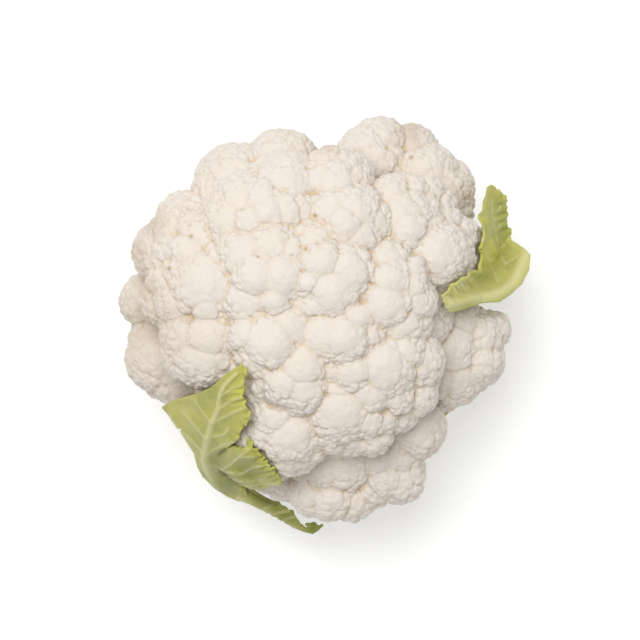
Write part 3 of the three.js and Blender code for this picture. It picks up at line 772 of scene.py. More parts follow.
def floret_balls(dome, rows):
    """One floret: the lump under it and the buds on it, each as (middle, radius)."""
    places = np.array([row[:2] for row in rows], float)
    radii = np.array([row[2] for row in rows], float)
    middle = (places * radii[:, None] ** 2).sum(0) / (radii ** 2).sum()
    away = np.linalg.norm(places - middle, axis=1)
    spread = max(SMALLEST_LUMP, (away + radii / 2).max())
    buds = []
    for (x, y, radius), distance in zip(rows, away):
        top = dome_height(dome, x, y) - FLORET_SAG * (distance / spread) ** 2
        buds.append((np.array((x, y, top - radius)), radius))
    edge = (np.linalg.norm(places, axis=1) + radii).max() - LUMP_INSET
    limit = max(0.0, edge - spread)
    reach = np.linalg.norm(middle)
    if reach > limit:
        middle = middle * limit / reach
    height = dome_height(dome, *middle) - LUMP_DEPTH - spread
    return (np.array((*middle, height)), spread), buds


def ring_balls(count, reach, height, radius, turn):
    angles = (np.arange(count) + turn) / count * 2 * math.pi
    return [(np.array((reach * math.cos(a), reach * math.sin(a), height)), radius) for a in angles]


def fill_buds(lumps, buds, radius, spacing, sink, core_count):
    """Buds by rule on what is left bare: golden-angle spirals round each lump and the core."""
    middles = [bud[0] for bud in buds]
    radii = [bud[1] for bud in buds]
    made = []
    lump_middles = np.array([lump[0] for lump in lumps])
    lump_radii = np.array([lump[1] for lump in lumps])

    def taken(place):
        gaps = np.linalg.norm(np.array(middles) - place, axis=1)
        return (gaps < BUD_ROOM * np.array(radii) + FILL_ROOM * radius).any()

    def in_lump(skin, own):
        inside = np.linalg.norm(lump_middles - skin, axis=1) < lump_radii + LUMP_MARGIN
        if own is not None:
            inside[own] = False
        return inside.any()

    def keep(place, axis):
        middles.append(place)
        radii.append(radius)
        made.append((place, radius, axis))

    for own, (middle, reach) in enumerate(lumps):
        count = round(4 * math.pi * reach ** 2 / spacing ** 2)
        for direction in golden_directions(count):
            place = middle + direction * (reach - sink)
            skin = place + direction * radius
            if not (in_lump(skin, own) or taken(place) or inside_core(skin)):
                keep(place, direction)
    for direction in golden_directions(core_count):
        reach = core_reach(direction) - sink
        place = HEAD_MIDDLE + direction * reach
        skin = HEAD_MIDDLE + direction * (reach + radius)
        if direction[2] > 0 and not in_lump(skin, None) and not taken(place):
            keep(place, direction)
    return made


def curd_balls():
    """All lumps, and all buds as (middle, radius, axis)."""
    florets = [floret_balls(CROWN_DOME, rows) for rows in CROWN_FLORETS]
    florets += [floret_balls(SKIRT_DOME, rows) for rows in SKIRT_FLORETS]
    florets += [floret_balls(LOW_DOME, rows) for rows in LOW_FLORETS]
    lumps = [lump for lump, _ in florets]
    for ring, (count, reach, height, radius) in enumerate(FLANK_RINGS):
        lumps += ring_balls(count, reach, height, radius, ring / 2)
    buds = []
    for (middle, _), row in florets:
        buds += [(place, radius, place - middle + BUD_RAISE) for place, radius in row]
    buds += fill_buds(lumps, buds, FILL_RADIUS, FILL_SPACING, FILL_SINK, CORE_FILL_COUNT)
    buds += fill_buds(lumps, buds, GAP_RADIUS, GAP_SPACING, GAP_SINK, 0)
    return lumps, buds


def curd_seeds():
    """All balls that the curd's skin goes round, as rows of (x, y, z, radius)."""
    lumps, buds = curd_balls()
    balls = [(*place, radius) for place, radius in lumps]
    for place, radius, axis in buds:
        broad = radius * BUD_BREADTH
        middle = place - unit(axis) * (broad - radius)
        edge = np.hypot(*place[:2]) + radius
        excess = np.hypot(*middle[:2]) + broad - edge
        share = np.interp(edge, OUTLINE_ZONE, (0, 1))
        middle[:2] -= unit(place[:2]) * max(0.0, excess) * share
        balls.append((*middle, broad))
    for count, reach, height, radius in CORE_RINGS:
        balls += [(*place, radius) for place, radius in ring_balls(count, reach, height, radius, 0)]
    return np.array(balls)


def curd_material(settings):
    material, tree, shader, place = new_material("curd_flesh")

    def hollow(name, depths):
        return remap(tree, attribute(tree, name), *depths)

    cloud = noise(tree, place, size=22 * MM, detail=2)
    warm = mix_colour(tree, remap(tree, cloud, 0.35, 0.7, to_high=0.5), settings.ivory, settings.cream)
    # Painted highlight on ridges; painted shade in creases, valleys, seams and pits; then real stains.
    skin = layered(tree, warm, (
        (scaled(tree, hollow("crease", RIDGE_LIGHT), 0.4), settings.ridge_light),
        (scaled(tree, hollow("crease", CREASE_SHADE), 0.3), settings.tan),
        (scaled(tree, hollow("valley", VALLEY_SHADE), 0.7), settings.tan),
        (scaled(tree, attribute(tree, "seam"), 0.12), settings.tan),
        (scaled(tree, hollow("valley", PIT_SHADE), 0.5), settings.stain_and_pit_shade),
        (attribute(tree, "stain"), settings.stain_and_pit_shade),
    ))
    tree.links.new(skin, shader.inputs["Base Color"])
    fine = noise(tree, place, size=0.55 * MM, detail=2)
    tree.links.new(bump(tree, fine, depth=0.12 * MM, strength=0.55), shader.inputs["Normal"])
    set_finish(shader, CURD_FINISH)
    return material


def blurred(tree, vector, rounds):
    made = add_node(tree, "GeometryNodeBlurAttribute", {"Iterations": rounds}, data_type="FLOAT_VECTOR")
    tree.links.new(vector, next(socket for socket in made.inputs if socket.type == "VECTOR"))
    return next(socket for socket in made.outputs if socket.type == "VECTOR")


def curd_tree(material):
    """Geometry nodes: a skin round balls, swollen and grained, its hollows noted for painted light."""
    sizes = ("Cell", "Swell", "Lobe Size", "Lobe Height", "Grain Size", "Grain Height")
    tree, given = new_tree("Curd skin", [(name, "NodeSocketFloat") for name in sizes])
    radius = add_node(
        tree, "GeometryNodeInputNamedAttribute", {"Name": "ball_radius"}, data_type="FLOAT").outputs[0]
    points = add_node(tree, "GeometryNodeMeshToPoints", {"Mesh": given["Geometry"], "Radius": radius})
    volume = add_node(
        tree, "GeometryNodePointsToVolume",
        {"Points": points.outputs[0], "Voxel Size": given["Cell"], "Radius": radius},
        resolution_mode="VOXEL_SIZE")
    skin = add_node(
        tree, "GeometryNodeVolumeToMesh", {"Volume": volume.outputs[0], "Threshold": SKIN_THRESHOLD})
    smooth = add_node(tree, "GeometryNodeSetShadeSmooth", {"Geometry": skin.outputs[0]})
    place = add_node(tree, "GeometryNodeInputPosition").outputs[0]
    even = add_node(
        tree, "GeometryNodeSetPosition",
        {"Geometry": smooth.outputs[0], "Position": blurred(tree, place, SKIN_ROUNDS)})

    normal = add_node(tree, "GeometryNodeInputNormal").outputs[0]
    around = vector_maths(tree, "NORMALIZE", blurred(tree, normal, LIE_ROUNDS))
    facing = vector_maths(tree, "DOT_PRODUCT", normal, around, result=1)
    upright = vector_maths(tree, "DOT_PRODUCT", normal, UP, result=1)
    level = vector_maths(tree, "DOT_PRODUCT", place, UP, result=1)
    side = remap(tree, level, *SIDE_LEVELS, *SIDE_SHARES)
    for turned in (remap(tree, facing, *LIE_LIMITS), remap(tree, upright, *UPRIGHT_LIMITS)):
        side = maths(tree, "MAXIMUM", side, turned)

    wander = add_node(tree, "ShaderNodeTexNoise", {"Vector": place, "Scale": 1 / WANDER_SIZE, "Detail": 1.0})
    shift = vector_maths(tree, "SUBTRACT", wander.outputs["Color"], (NOISE_MEAN,) * 3)
    bent = vector_maths(tree, "ADD", place, vector_maths(tree, "MULTIPLY", shift, (WANDER_REACH,) * 3))
    wave = maths(tree, "SUBTRACT", noise(tree, place, SWELL_SIZE, detail=1), NOISE_MEAN)
    rise = maths(tree, "MULTIPLY", wave, given["Swell"])
    for relief in ("Lobe", "Grain"):
        scale = maths(tree, "DIVIDE", 1.0, given[f"{relief} Size"])
        cells = add_node(tree, "ShaderNodeTexVoronoi", {"Vector": bent, "Scale": scale}).outputs["Distance"]
        cap = maths(tree, "SUBTRACT", CAP_HEIGHT, maths(tree, "MULTIPLY", cells, cells))
        cap = maths(tree, "MULTIPLY", cap, side)
        rise = maths(tree, "MULTIPLY_ADD", cap, given[f"{relief} Height"], rise)
    offset = add_node(
        tree, "ShaderNodeVectorMath", {0: normal, "Scale": rise}, operation="SCALE").outputs[0]
    raised = add_node(
        tree, "GeometryNodeSetPosition", {"Geometry": even.outputs[0], "Offset": offset})

    noted = raised
    for name, rounds in HOLLOWS:
        gap = vector_maths(tree, "SUBTRACT", blurred(tree, place, rounds), place)
        depth = maths(tree, "DIVIDE", vector_maths(tree, "DOT_PRODUCT", gap, normal, result=1), MM)
        noted = add_node(
            tree, "GeometryNodeStoreNamedAttribute",
            {"Geometry": noted.outputs[0], "Name": name, "Value": depth}, data_type="FLOAT", domain="POINT")
    end_tree(tree, noted.outputs[0], material)
    return tree


def stain_values(places):
    """How brown each point of the curd is, from the specks and stains seen from above."""
    values = np.zeros(len(places))
    above = places[:, 2] > MARK_LEVEL
    for x, y, radius, strength in SPECKS + STAINS:
        away = np.hypot(places[:, 0] - x, places[:, 1] - y) / radius
        values = np.maximum(values, np.where(above, strength * np.exp(-away ** 2), 0))
    return values


def nearest_balls(places, balls):
    """For each place: the ball whose surface it lies on, and how much further off the next one is."""
    owner = np.zeros(len(places), int)
    lead = np.zeros(len(places))
    cells = np.floor(places / CREASE_CELL).astype(int)
    keys, member = np.unique(cells, axis=0, return_inverse=True)
    member = member.ravel()
    order = np.argsort(member, kind="stable")
    bounds = np.searchsorted(member[order], np.arange(len(keys) + 1))
    for k, key in enumerate(keys):
        mine = order[bounds[k]:bounds[k + 1]]
        middle = (key + 0.5) * CREASE_CELL
        reach = np.linalg.norm(balls[:, :3] - middle, axis=1) - balls[:, 3]
        close = np.argsort(reach)[:max(2, np.count_nonzero(reach < CREASE_CELL * CELL_REACH))]
        gaps = np.linalg.norm(places[mine, None] - balls[None, close, :3], axis=2) - balls[close, 3]
        pair = np.partition(gaps, 1, axis=1)
        owner[mine] = close[gaps.argmin(1)]
        lead[mine] = pair[:, 1] - pair[:, 0]
    return owner, lead


def curd_sectors(whole, balls, material):
    """The curd's skin as closed sectors of whole buds, with cut sides that run in to the head's middle."""
    places = coordinates(whole)
    owner, lead = nearest_balls(places / MM, balls)
    seam = np.exp(-(lead / CREASE_BREADTH) ** 2)
    inward = unit(balls[owner, :3] * MM - places)
    places = places + inward * (seam * CREASE_DEPTH * MM)[:, None]
    whole.calc_loop_triangles()
    triangles = np.empty(len(whole.loop_triangles) * 3, np.int32)
    whole.loop_triangles.foreach_get("vertices", triangles)
    triangles = triangles.reshape(-1, 3)
    turns = np.arctan2(balls[:, 1], balls[:, 0]) / (2 * math.pi) + 0.5
    ball_sector = np.minimum((turns * CURD_SECTORS).astype(int), CURD_SECTORS - 1)
    sectors = ball_sector[owner[triangles[:, 0]]]
    values = {name: read_values(whole, name) for name, _ in HOLLOWS}
    values["stain"] = stain_values(places / MM)
    values["seam"] = seam
    normals = point_normals(places, triangles)
    for number in range(CURD_SECTORS):
        own = triangles[sectors == number]
        used, local = np.unique(own, return_inverse=True)
        local = local.reshape(-1, 3)
        heart = len(used)
        sides = np.concatenate((local[:, (0, 1)], local[:, (1, 2)], local[:, (2, 0)]))
        code = sides[:, 0].astype(np.int64) * (heart + 1) + sides[:, 1]
        back = sides[:, 1].astype(np.int64) * (heart + 1) + sides[:, 0]
        rim = sides[~np.isin(code, back)]
        cut = np.c_[rim[:, ::-1], np.full(len(rim), heart)]
        sector = bpy.data.meshes.new("curd_sector")
        sector.from_pydata(np.vstack((places[used], HEAD_MIDDLE * MM)), [], np.vstack((local, cut)))
        for name, value in values.items():
            store_values(sector, name, np.append(value[used], 0))
        sector.polygons.foreach_set("use_smooth", np.arange(len(local) + len(cut)) < len(local))
        sector.normals_split_custom_set_from_vertices(np.vstack((normals[used], (0, 0, 0))))
        sector.materials.append(material)
        yield sector


class CAULIFLOWER_OT_curd(bpy.types.Operator):
    """Make the curd: florets of buds, studded with smaller buds and grained"""

    bl_idname = "cauliflower.make_curd"
    bl_label = "Make curd"

    def execute(self, context):
        settings = context.scene.cauliflower_curd
        material = curd_material(settings)
        tree = curd_tree(material)
        balls = curd_seeds()
        seeds = bpy.data.meshes.new("curd")
        seeds.from_pydata(balls[:, :3] * MM, [], [])
        store_values(seeds, "ball_radius", balls[:, 3] * MM)
        whole = new_object("curd_whole", seeds)
        skin = whole.modifiers.new("Curd skin", "NODES")
        skin.node_group = tree
        set_inputs(skin, {
            "Cell": settings.voxel, "Swell": settings.swell,
            "Lobe Size": settings.lobe_size, "Lobe Height": settings.lobe_height,
            "Grain Size": settings.grain_size, "Grain Height": settings.grain_height})
        mesh = evaluated_mesh(whole, "curd_whole")
        if not mesh.polygons:
            raise RuntimeError("the curd came out empty")
        for number, sector in enumerate(curd_sectors(mesh, balls, material), 1):
            rides(new_object(f"curd_sector_{number}", sector), "curd", "curd")
        bpy.data.objects.remove(whole)
        return {"FINISHED"}


# Stems

def stem_mesh(points, sections, steps, sides, ribs):
    """A closed, ribbed stem: points, faces and the share of its length at each point, in millimetres."""
    path = smooth_path(points, steps + 1)
    halves = curved(sections, steps + 1)
    along = unit(np.gradient(path, axis=0))
    side = unit(np.cross(along, unit(path - HEAD_MIDDLE)))
    face = np.cross(side, along)
    angles = even_turns(sides)
    count, height = ribs
    ripple = 1 + height * np.cos(count * angles)
    ring = (side[:, None] * (halves[:, :1] * np.cos(angles) * ripple)[..., None]
            + face[:, None] * (halves[:, 1:] * np.sin(angles) * ripple)[..., None])
    share = np.repeat(np.linspace(0, 1, steps + 1), sides)
    return (path[:, None] + ring).reshape(-1, 3), tube_faces(steps, sides), share


def stem_material(name, settings, flesh):
    material, tree, shader, place = new_material(name)
    grain = noise(tree, vector_maths(tree, "MULTIPLY", place, STEM_STRETCH), size=1.6 * MM, detail=4)
    cloud = noise(tree, place, size=9 * MM, detail=2)
    tint = layered(tree, flesh, (
        (remap(tree, cloud, 0.3, 0.75, to_high=0.55), settings.pale),
        (remap(tree, grain, 0.35, 0.8, to_high=0.25), settings.green),
        (scaled(tree, attribute(tree, "tip"), 0.85), settings.dark),
        (attribute(tree, "cut"), settings.cut),
    ))
    tree.links.new(tint, shader.inputs["Base Color"])
    tree.links.new(bump(tree, grain, depth=0.35 * MM, strength=0.5), shader.inputs["Normal"])
    set_finish(shader, STEM_FINISH)
    return material


def ring_tree(material):
    """Geometry nodes: the given shape, repeated in even turns round the axis."""
    tree, given = new_tree("Branch ring", [("Count", "NodeSocketInt")])
    points = add_node(tree, "GeometryNodePoints", {"Count": given["Count"]})
    index = add_node(tree, "GeometryNodeInputIndex").outputs[0]
    angle = maths(tree, "DIVIDE", scaled(tree, index, 2 * math.pi), given["Count"])
    turn = add_node(tree, "FunctionNodeAxisAngleToRotation", {"Axis": UP, "Angle": angle})
    ring = add_node(
        tree, "GeometryNodeInstanceOnPoints",
        {"Points": points.outputs[0], "Instance": given["Geometry"], "Rotation": turn.outputs[0]})
    end_tree(tree, ring.outputs[0], material)
    return tree


class CAULIFLOWER_OT_stalk(bpy.types.Operator):
    """Make the stalk with its flat cut face and its branches"""

    bl_idname = "cauliflower.make_stalk"
    bl_label = "Make stalk"

    def execute(self, context):
        settings = context.scene.cauliflower_leaf
        material = stem_material("stalk_skin", settings, settings.stem)
        profile = smooth_path([(r, 0, h) for h, r in STALK_PROFILE], STALK_STEPS + 1)
        angles = even_turns(STALK_SIDES)
        ripple = 1 + sum(height * np.cos(count * angles + start) for count, height, start in STALK_RIBS)
        ring = np.stack((np.cos(angles) * ripple, np.sin(angles) * ripple), axis=1)
        places = np.array([(x * r, y * r, h) for r, _, h in profile for x, y in ring])
        faces = tube_faces(STALK_STEPS, STALK_SIDES)
        cut = (places[:, 2] < CUT_HEIGHT).astype(float)
        mesh = mesh_of("stalk_stem", [(places, faces)], material, {"cut": cut})
        rides(new_object("stalk_stem", mesh), "stalk", "stalk")

        path = [(out, 0, up) for out, up in BRANCH_PATH]
        sections = [(r, r) for r in BRANCH_RADII]
        branch = stem_mesh(path, sections, BRANCH_STEPS, BRANCH_SIDES, BRANCH_RIBS)[:2]
        one = mesh_of("stalk_branch", [branch], material, {"cut": np.zeros(len(branch[0]))})
        branches = new_object("stalk_branches", one)
        ring = branches.modifiers.new("Branch ring", "NODES")
        ring.node_group = ring_tree(material)
        set_inputs(ring, {"Count": BRANCH_COUNT})
        evaluated_mesh(branches, "stalk_branches")
        rides(branches, "stalk", "stalk")
        return {"FINISHED"}


class CAULIFLOWER_OT_leaf_bases(bpy.types.Operator):
    """Make the cut bases of the trimmed leaves"""

    bl_idname = "cauliflower.make_leaf_bases"
    bl_label = "Make leaf bases"

    def execute(self, context):
        settings = context.scene.cauliflower_leaf
        material = stem_material("leaf_base_skin", settings, settings.pale)
        for number, (angle, end) in enumerate(LEAF_BASES, 1):
            turn = math.radians(angle)
            end = np.array(end, float)

            def out(reach, height):
                return np.array((reach * math.cos(turn), reach * math.sin(turn), height))

            path = [*(out(*point) for point in BASE_START), (out(*BASE_TURN) * 2 + end) / 3, end]
            places, faces, share = stem_mesh(path, BASE_SECTIONS, BASE_STEPS, BASE_SIDES, BASE_RIBS)
            name = f"leaf_stub_{number}"
            tip = np.interp(share, BASE_GREENS, (0, 1))
            mesh = mesh_of(name, [(places, faces)], material, {"cut": np.zeros(len(places)), "tip": tip})
            rides(new_object(name, mesh), "leaf_base", f"leaf_base_{number}")
        return {"FINISHED"}


# Leaves

def spline_heights(samples, places):
    """Heights of a thin plate through the samples, at the places."""
    samples = np.asarray(samples, float)

    def kernel(a, b):
        gap = np.maximum(np.linalg.norm(a[:, None] - b[None], axis=2), SMALLEST_GAP)
        return gap ** 2 * np.log(gap)

    flat = samples[:, :2]
    count = len(flat)
    ones = np.c_[np.ones(count), flat]
    system = np.zeros((count + 3, count + 3))
    system[:count, :count] = kernel(flat, flat) + PLATE_EASE * np.eye(count)
    system[:count, count:] = ones
    system[count:, :count] = ones.T
    weights = np.linalg.solve(system, np.r_[samples[:, 2], 0, 0, 0])
    return kernel(places, flat) @ weights[:count] + np.c_[np.ones(len(places)), places] @ weights[count:]


def inside_outline(outline, places):
    """Which places lie inside a closed outline."""
    x, y = places.T
    inside = np.zeros(len(places), bool)
    for (ax, ay), (bx, by) in zip(outline, np.roll(outline, -1, axis=0)):
        crosses = (ay > y) != (by > y)
        with np.errstate(divide="ignore", invalid="ignore"):
            inside ^= crosses & (x < (bx - ax) * (y - ay) / (by - ay) + ax)
    return inside


def line_reach(line, places):
    """For each place: its distance to a line through points, and how far along that line it lies."""
    line = np.asarray(line, float)
    best = np.full(len(places), np.inf)
    along = np.zeros(len(places))
    start = 0.0
    for a, b in zip(line[:-1], line[1:]):
        length = np.linalg.norm(b - a)
        t = np.clip(((places - a) @ (b - a)) / length ** 2, 0, 1)
        gap = np.linalg.norm(places - (a + t[:, None] * (b - a)), axis=1)
        nearer = gap < best
        best = np.where(nearer, gap, best)
        along = np.where(nearer, start + t * length, along)
        start += length
    return best, along


def toothed_edge(outline, ragged, spacing):
    """The outline in short steps, with uneven teeth on its ragged stretches, and those stretches' points."""
    outline = np.asarray(outline, float)
    edge = []
    reach = []
    for k, (a, b) in enumerate(zip(outline, np.roll(outline, -1, axis=0))):
        steps = max(1, round(np.linalg.norm(b - a) / spacing))
        edge += [a + (b - a) * step / steps for step in range(steps)]
        reach += [max((height for first, last, height in ragged if first <= k < last), default=0)] * steps
    edge = np.array(edge)
    reach = np.array(reach)
    ahead = np.roll(edge, -1, axis=0) - np.roll(edge, 1, axis=0)
    outward = unit(np.c_[ahead[:, 1], -ahead[:, 0]])
    x, y = outline.T
    if (x * np.roll(y, -1) - np.roll(x, -1) * y).sum() < 0:
        outward = -outward
    run = np.cumsum(np.linalg.norm(edge - np.roll(edge, 1, axis=0), axis=1))
    drift, drift_rate = TOOTH_DRIFT
    tooth = np.abs(np.sin(run * math.pi / TOOTH_LENGTH + drift * np.sin(run * drift_rate)))
    mean, change, rate, slow_rate = TOOTH_HEIGHTS
    uneven = mean + change * np.sin(run * rate) * np.sin(run * slow_rate)
    return edge + outward * (reach * uneven * (tooth - 0.5) * 2)[:, None], reach > 0


def blade_sheet(outline, ragged, heights, spacing):
    """A triangulated sheet inside the outline, lifted to its heights: points, faces and ragged edge."""
    edge, torn = toothed_edge(outline, ragged, spacing)
    low, high = edge.min(0), edge.max(0)
    across = np.arange(low[0], high[0], spacing)
    up = np.arange(low[1], high[1], spacing * math.sqrt(3) / 2)
    grid = np.array([(x + (k % 2) * spacing / 2, y) for k, y in enumerate(up) for x in across])
    grid = grid[inside_outline(edge, grid)]
    grid = grid[line_reach(np.vstack((edge, edge[:1])), grid)[0] > EDGE_ROOM * spacing]
    flat = [Vector(place) for place in np.vstack((edge, grid))]
    ring = [(k, (k + 1) % len(edge)) for k in range(len(edge))]
    points, _, faces, *_ = delaunay_2d_cdt(flat, ring, [], INSIDE_ONLY, MERGE_REACH)
    flat = np.array([tuple(point) for point in points])
    return np.c_[flat, spline_heights(heights, flat)], [tuple(face) for face in faces], edge[torn]


def sheet_normals(places, faces):
    """The sheet's normals, all turned to its upper side."""
    normals = point_normals(places, np.array(faces))
    return normals * np.where(normals[:, 2:] < 0, -1, 1)


def push_clear(places, balls, clearance):
    """Moves points that lie inside the curd's balls out to a clear distance."""
    for _ in range(CLEARING_ROUNDS):
        for middle, radius in balls:
            offset = places - middle
            gap = np.linalg.norm(offset, axis=1)
            near = gap < radius + clearance
            places[near] = middle + offset[near] / gap[near, None] * (radius + clearance)
    return places


def patch_shape(flat, x, y, reach):
    return np.exp(-((flat - (x, y)) ** 2).sum(1) / reach ** 2)


def leaf_blade(leaf, balls, settings):
    """A blade with its rib, veins, folds and ruffled margin: points, faces and values for colour."""
    places, faces, torn = blade_sheet(leaf["outline"], leaf["ragged"], leaf["heights"], BLADE_SPACING)
    places = push_clear(places, balls, leaf["clearance"])
    flat = places[:, :2]
    midrib = curved(leaf["midrib"], RIB_STEPS)
    away, along = line_reach(midrib, flat)
    length = np.linalg.norm(np.diff(midrib, axis=0), axis=1).sum()
    breadth = np.interp(along / length, (0, 1), leaf["rib_breadth"])
    rib = np.exp(-(away / breadth) ** 2)
    nearest = np.minimum.reduce([line_reach(curved(vein), flat)[0] for vein in leaf["veins"]])
    vein = np.exp(-(nearest / VEIN_BREADTH) ** 2)
    fold = np.zeros(len(flat))
    for line in leaf["folds"]:
        fold = np.maximum(fold, np.exp(-(line_reach(curved(line), flat)[0] / FOLD_BREADTH) ** 2))
    inset, run = line_reach(torn, flat)
    margin = np.exp(-inset / MARGIN_BREADTH)
    drift, drift_rate = RUFFLE_DRIFT
    ruffle = np.sin(run * 2 * math.pi / RUFFLE_LENGTH + drift * np.sin(run * drift_rate))
    puff = 1 - np.exp(-(np.minimum(nearest, away) / PUFF_BREADTH) ** 2)
    pleat = np.zeros(len(flat))
    for x, y, reach, angle, spacing, depth in leaf["pleats"]:
        turn = math.radians(angle)
        across = (flat - (x, y)) @ (-math.sin(turn), math.cos(turn))
        pleat += depth * patch_shape(flat, x, y, reach) * np.cos(across * 2 * math.pi / spacing)
    tints = {name: np.zeros(len(flat)) for name in ("shaded_green", "bright", "pale", "shade")}
    for name, x, y, reach, strength in leaf["patches"]:
        tints[name] = np.maximum(tints[name], strength * patch_shape(flat, x, y, reach))
    # The pleats' troughs get painted shade.
    rate, most = PLEAT_TINT
    tints["shaded_green"] = np.maximum(tints["shaded_green"], np.clip(-rate * pleat, 0, most))
    height = settings.vein_height / MM
    lift = leaf["raised"] * height * (rib * leaf["rib_height"] + VEIN_RISE * vein - PUFF_RISE * puff)
    lift += margin * RUFFLE_HEIGHT * ruffle - FOLD_DEPTH * fold + pleat
    places = places + sheet_normals(places, faces) * lift[:, None]
    # Veins and rib are pale, but painted shade dims the rib.
    pale = np.maximum(VEIN_PALENESS * vein, rib * (1 - RIB_DIMMING * tints["shaded_green"]))
    # The fold values are painted shade: the folds and the shade patches.
    return places, faces, {
        "vein": np.maximum(pale, tints["pale"]), "margin": margin, "fold": np.maximum(fold, tints["shade"]),
        "shaded_green": tints["shaded_green"], "bright": tints["bright"],
    }


def thick_blade(places, faces, thickness):
    """A closed sheet: both faces of the blade and its rim."""
    normals = sheet_normals(places, faces)
    count = len(places)
    both = np.vstack((places + normals * thickness / 2, places - normals * thickness / 2))
    used = set()
    for face in faces:
        used.update(zip(face, face[1:] + face[:1]))
    rim = [(a, b) for a, b in sorted(used) if (b, a) not in used]
    closed = list(faces) + [tuple(k + count for k in reversed(face)) for face in faces]
    closed += [(b, a, a + count, b + count) for a, b in rim]
    return both, closed


def leaf_material(name, settings):
    material, tree, shader, place = new_material(name)
    stem = attribute(tree, "stem")
    cloud = noise(tree, place, size=8 * MM, detail=3)
    fine = noise(tree, place, size=1.0 * MM, detail=4)
    net = add_node(
        tree, "ShaderNodeTexVoronoi", {"Vector": place, "Scale": 1 / (1.9 * MM)}, feature="DISTANCE_TO_EDGE")
    mesh_veins = maths(
        tree, "MULTIPLY", remap(tree, net.outputs["Distance"], 0.08, 0.0), maths(tree, "SUBTRACT", 1.0, stem))
    flesh = mix_colour(tree, attribute(tree, "streak"), settings.stem, settings.green)
    tint = layered(tree, settings.green, (
        (remap(tree, cloud, 0.4, 0.7, to_high=0.75), settings.dark),
        (remap(tree, fine, 0.4, 0.75, to_high=0.25), settings.bright),
        (scaled(tree, attribute(tree, "margin"), 0.5), settings.bright),
        (attribute(tree, "bright"), settings.bright),
        (stem, flesh),
        # Painted shade: dark green patches, pleat troughs and the petioles' upper ends.
        (attribute(tree, "shaded_green"), settings.shaded_green),
        (scaled(tree, mesh_veins, 0.2), settings.pale),
        (scaled(tree, attribute(tree, "vein"), 0.85), settings.pale),
        # Painted shade in the folds.
        (scaled(tree, attribute(tree, "fold"), 0.9), settings.shade),
    ))
    tree.links.new(tint, shader.inputs["Base Color"])
    height = maths(tree, "MULTIPLY_ADD", mesh_veins, 0.5, fine)
    tree.links.new(bump(tree, height, depth=0.22 * MM, strength=0.5), shader.inputs["Normal"])
    set_finish(shader, LEAF_FINISH)
    return material


def make_leaf(name, node, blades, petiole, sections, balls, settings):
    """One leaf: its blades and the petiole that carries them, as one mesh."""
    parts = []
    values = {key: [] for key in ("vein", "margin", "fold", "shaded_green", "bright", "stem", "streak")}
    for leaf in blades:
        places, faces, found = leaf_blade(leaf, balls, settings)
        parts.append(thick_blade(places, faces, settings.thickness / MM))
        for key in values:
            values[key].append(np.tile(found.get(key, np.zeros(len(places))), 2))
    places, faces, share = stem_mesh(petiole, sections, PETIOLE_STEPS, PETIOLE_SIDES, PETIOLE_RIBS)
    parts.append((places, faces))
    turn = np.tile(even_turns(PETIOLE_SIDES), PETIOLE_STEPS + 1)
    streaks = sum(strength * np.sin(count * turn + start) for count, strength, start in STREAKS)
    # A petiole darkens towards its upper end, as painted shade.
    found = {
        "stem": np.ones(len(places)),
        "streak": STREAK_MEAN + streaks,
        "shaded_green": np.interp(share, PETIOLE_GREENS, (0, PETIOLE_SHADE)),
    }
    for key in values:
        values[key].append(found.get(key, np.zeros(len(places))))
    values = {key: np.concatenate(value) for key, value in values.items()}
    mesh = mesh_of(name, parts, leaf_material(f"{name}_skin", settings), values)
    rides(new_object(name, mesh), "leaf", node)


class CAULIFLOWER_OT_leaves(bpy.types.Operator):
    """Make the two leaves that still lie against the curd"""

    bl_idname = "cauliflower.make_leaves"
    bl_label = "Make leaves"

    def execute(self, context):
        settings = context.scene.cauliflower_leaf
        balls = [(seed[:3], seed[3]) for seed in curd_seeds()]
        make_leaf("left_leaf", "leaf_left", (LEFT_BLADE, STRIP), LEFT_PETIOLE, LEFT_SECTIONS, balls, settings)
        make_leaf("right_leaf", "leaf_right", (RIGHT_BLADE,), RIGHT_PETIOLE, RIGHT_SECTIONS, balls, settings)
        return {"FINISHED"}


# Stage

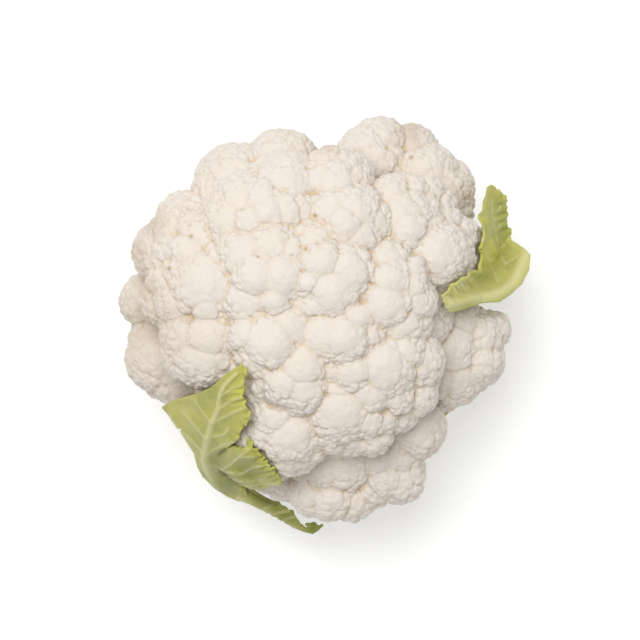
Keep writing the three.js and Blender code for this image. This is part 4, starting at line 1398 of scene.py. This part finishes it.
class CAULIFLOWER_OT_stage(bpy.types.Operator):
    """Make the floor, the soft light and the camera straight above"""

    bl_idname = "cauliflower.make_stage"
    bl_label = "Make stage"

    def execute(self, context):
        settings = context.scene.cauliflower_stage
        mesh = bpy.data.meshes.new("floor")
        corners = [(x * FLOOR_HALF, y * FLOOR_HALF, 0) for x, y in ((-1, -1), (1, -1), (1, 1), (-1, 1))]
        mesh.from_pydata(corners, [], [(0, 1, 2, 3)])
        material, _, shader, _ = new_material("floor_white")
        set_finish(shader, {
            "Base Color": settings.floor, "Roughness": FLOOR_ROUGHNESS,
            "Emission Color": WHITE, "Emission Strength": settings.glow})
        mesh.materials.append(material)
        new_object("floor", mesh)

        world = bpy.data.worlds.new("studio")
        world.use_nodes = True
        set_finish(world.node_tree.nodes["Background"], {"Color": WHITE, "Strength": settings.sky})
        context.scene.world = world

        light = bpy.data.lights.new("key", "AREA")
        light.shape = "DISK"
        light.size = KEY_SIZE
        light.energy = settings.key_power
        key = bpy.data.objects.new("key", light)
        key.location = KEY_PLACE
        key.rotation_euler = (Vector(KEY_AIM) - key.location).to_track_quat("-Z", "Y").to_euler()
        context.scene.collection.objects.link(key)

        lens = bpy.data.cameras.new("camera")
        lens.lens = LENS_MM
        lens.sensor_width = SENSOR_MM
        camera = bpy.data.objects.new("camera", lens)
        camera.location = (*FRAME_MIDDLE, FRAME_LEVEL + FRAME_WIDTH * LENS_MM / SENSOR_MM)
        context.scene.collection.objects.link(camera)
        context.scene.camera = camera
        context.scene.view_settings.view_transform = "Standard"
        return {"FINISHED"}


class CAULIFLOWER_PT_panel(bpy.types.Panel):
    """Lists the pieces and their settings"""

    bl_idname = "CAULIFLOWER_PT_panel"
    bl_label = "Cauliflower"
    bl_space_type = "VIEW_3D"
    bl_region_type = "UI"
    bl_category = "Cauliflower"

    def draw(self, context):
        for group in SETTINGS:
            settings = getattr(context.scene, group)
            box = self.layout.box()
            for name in settings.__annotations__:
                box.prop(settings, name)
        for operator in OPERATORS:
            self.layout.operator(operator.bl_idname)


OPERATORS = (
    CAULIFLOWER_OT_curd, CAULIFLOWER_OT_stalk, CAULIFLOWER_OT_leaf_bases, CAULIFLOWER_OT_leaves,
    CAULIFLOWER_OT_stage)
SETTINGS = {
    "cauliflower_curd": CurdSettings, "cauliflower_leaf": LeafSettings, "cauliflower_stage": StageSettings}


def register():
    for kind in (*SETTINGS.values(), *OPERATORS, CAULIFLOWER_PT_panel):
        bpy.utils.register_class(kind)
    for name, kind in SETTINGS.items():
        setattr(bpy.types.Scene, name, bpy.props.PointerProperty(type=kind))


def unregister():
    for name in SETTINGS:
        delattr(bpy.types.Scene, name)
    for kind in reversed((*SETTINGS.values(), *OPERATORS, CAULIFLOWER_PT_panel)):
        bpy.utils.unregister_class(kind)


def main():
    register()
    bpy.ops.cauliflower.make_curd()
    bpy.ops.cauliflower.make_stalk()
    bpy.ops.cauliflower.make_leaf_bases()
    bpy.ops.cauliflower.make_leaves()
    bpy.ops.cauliflower.make_stage()


if __name__ == "__main__":
    main()
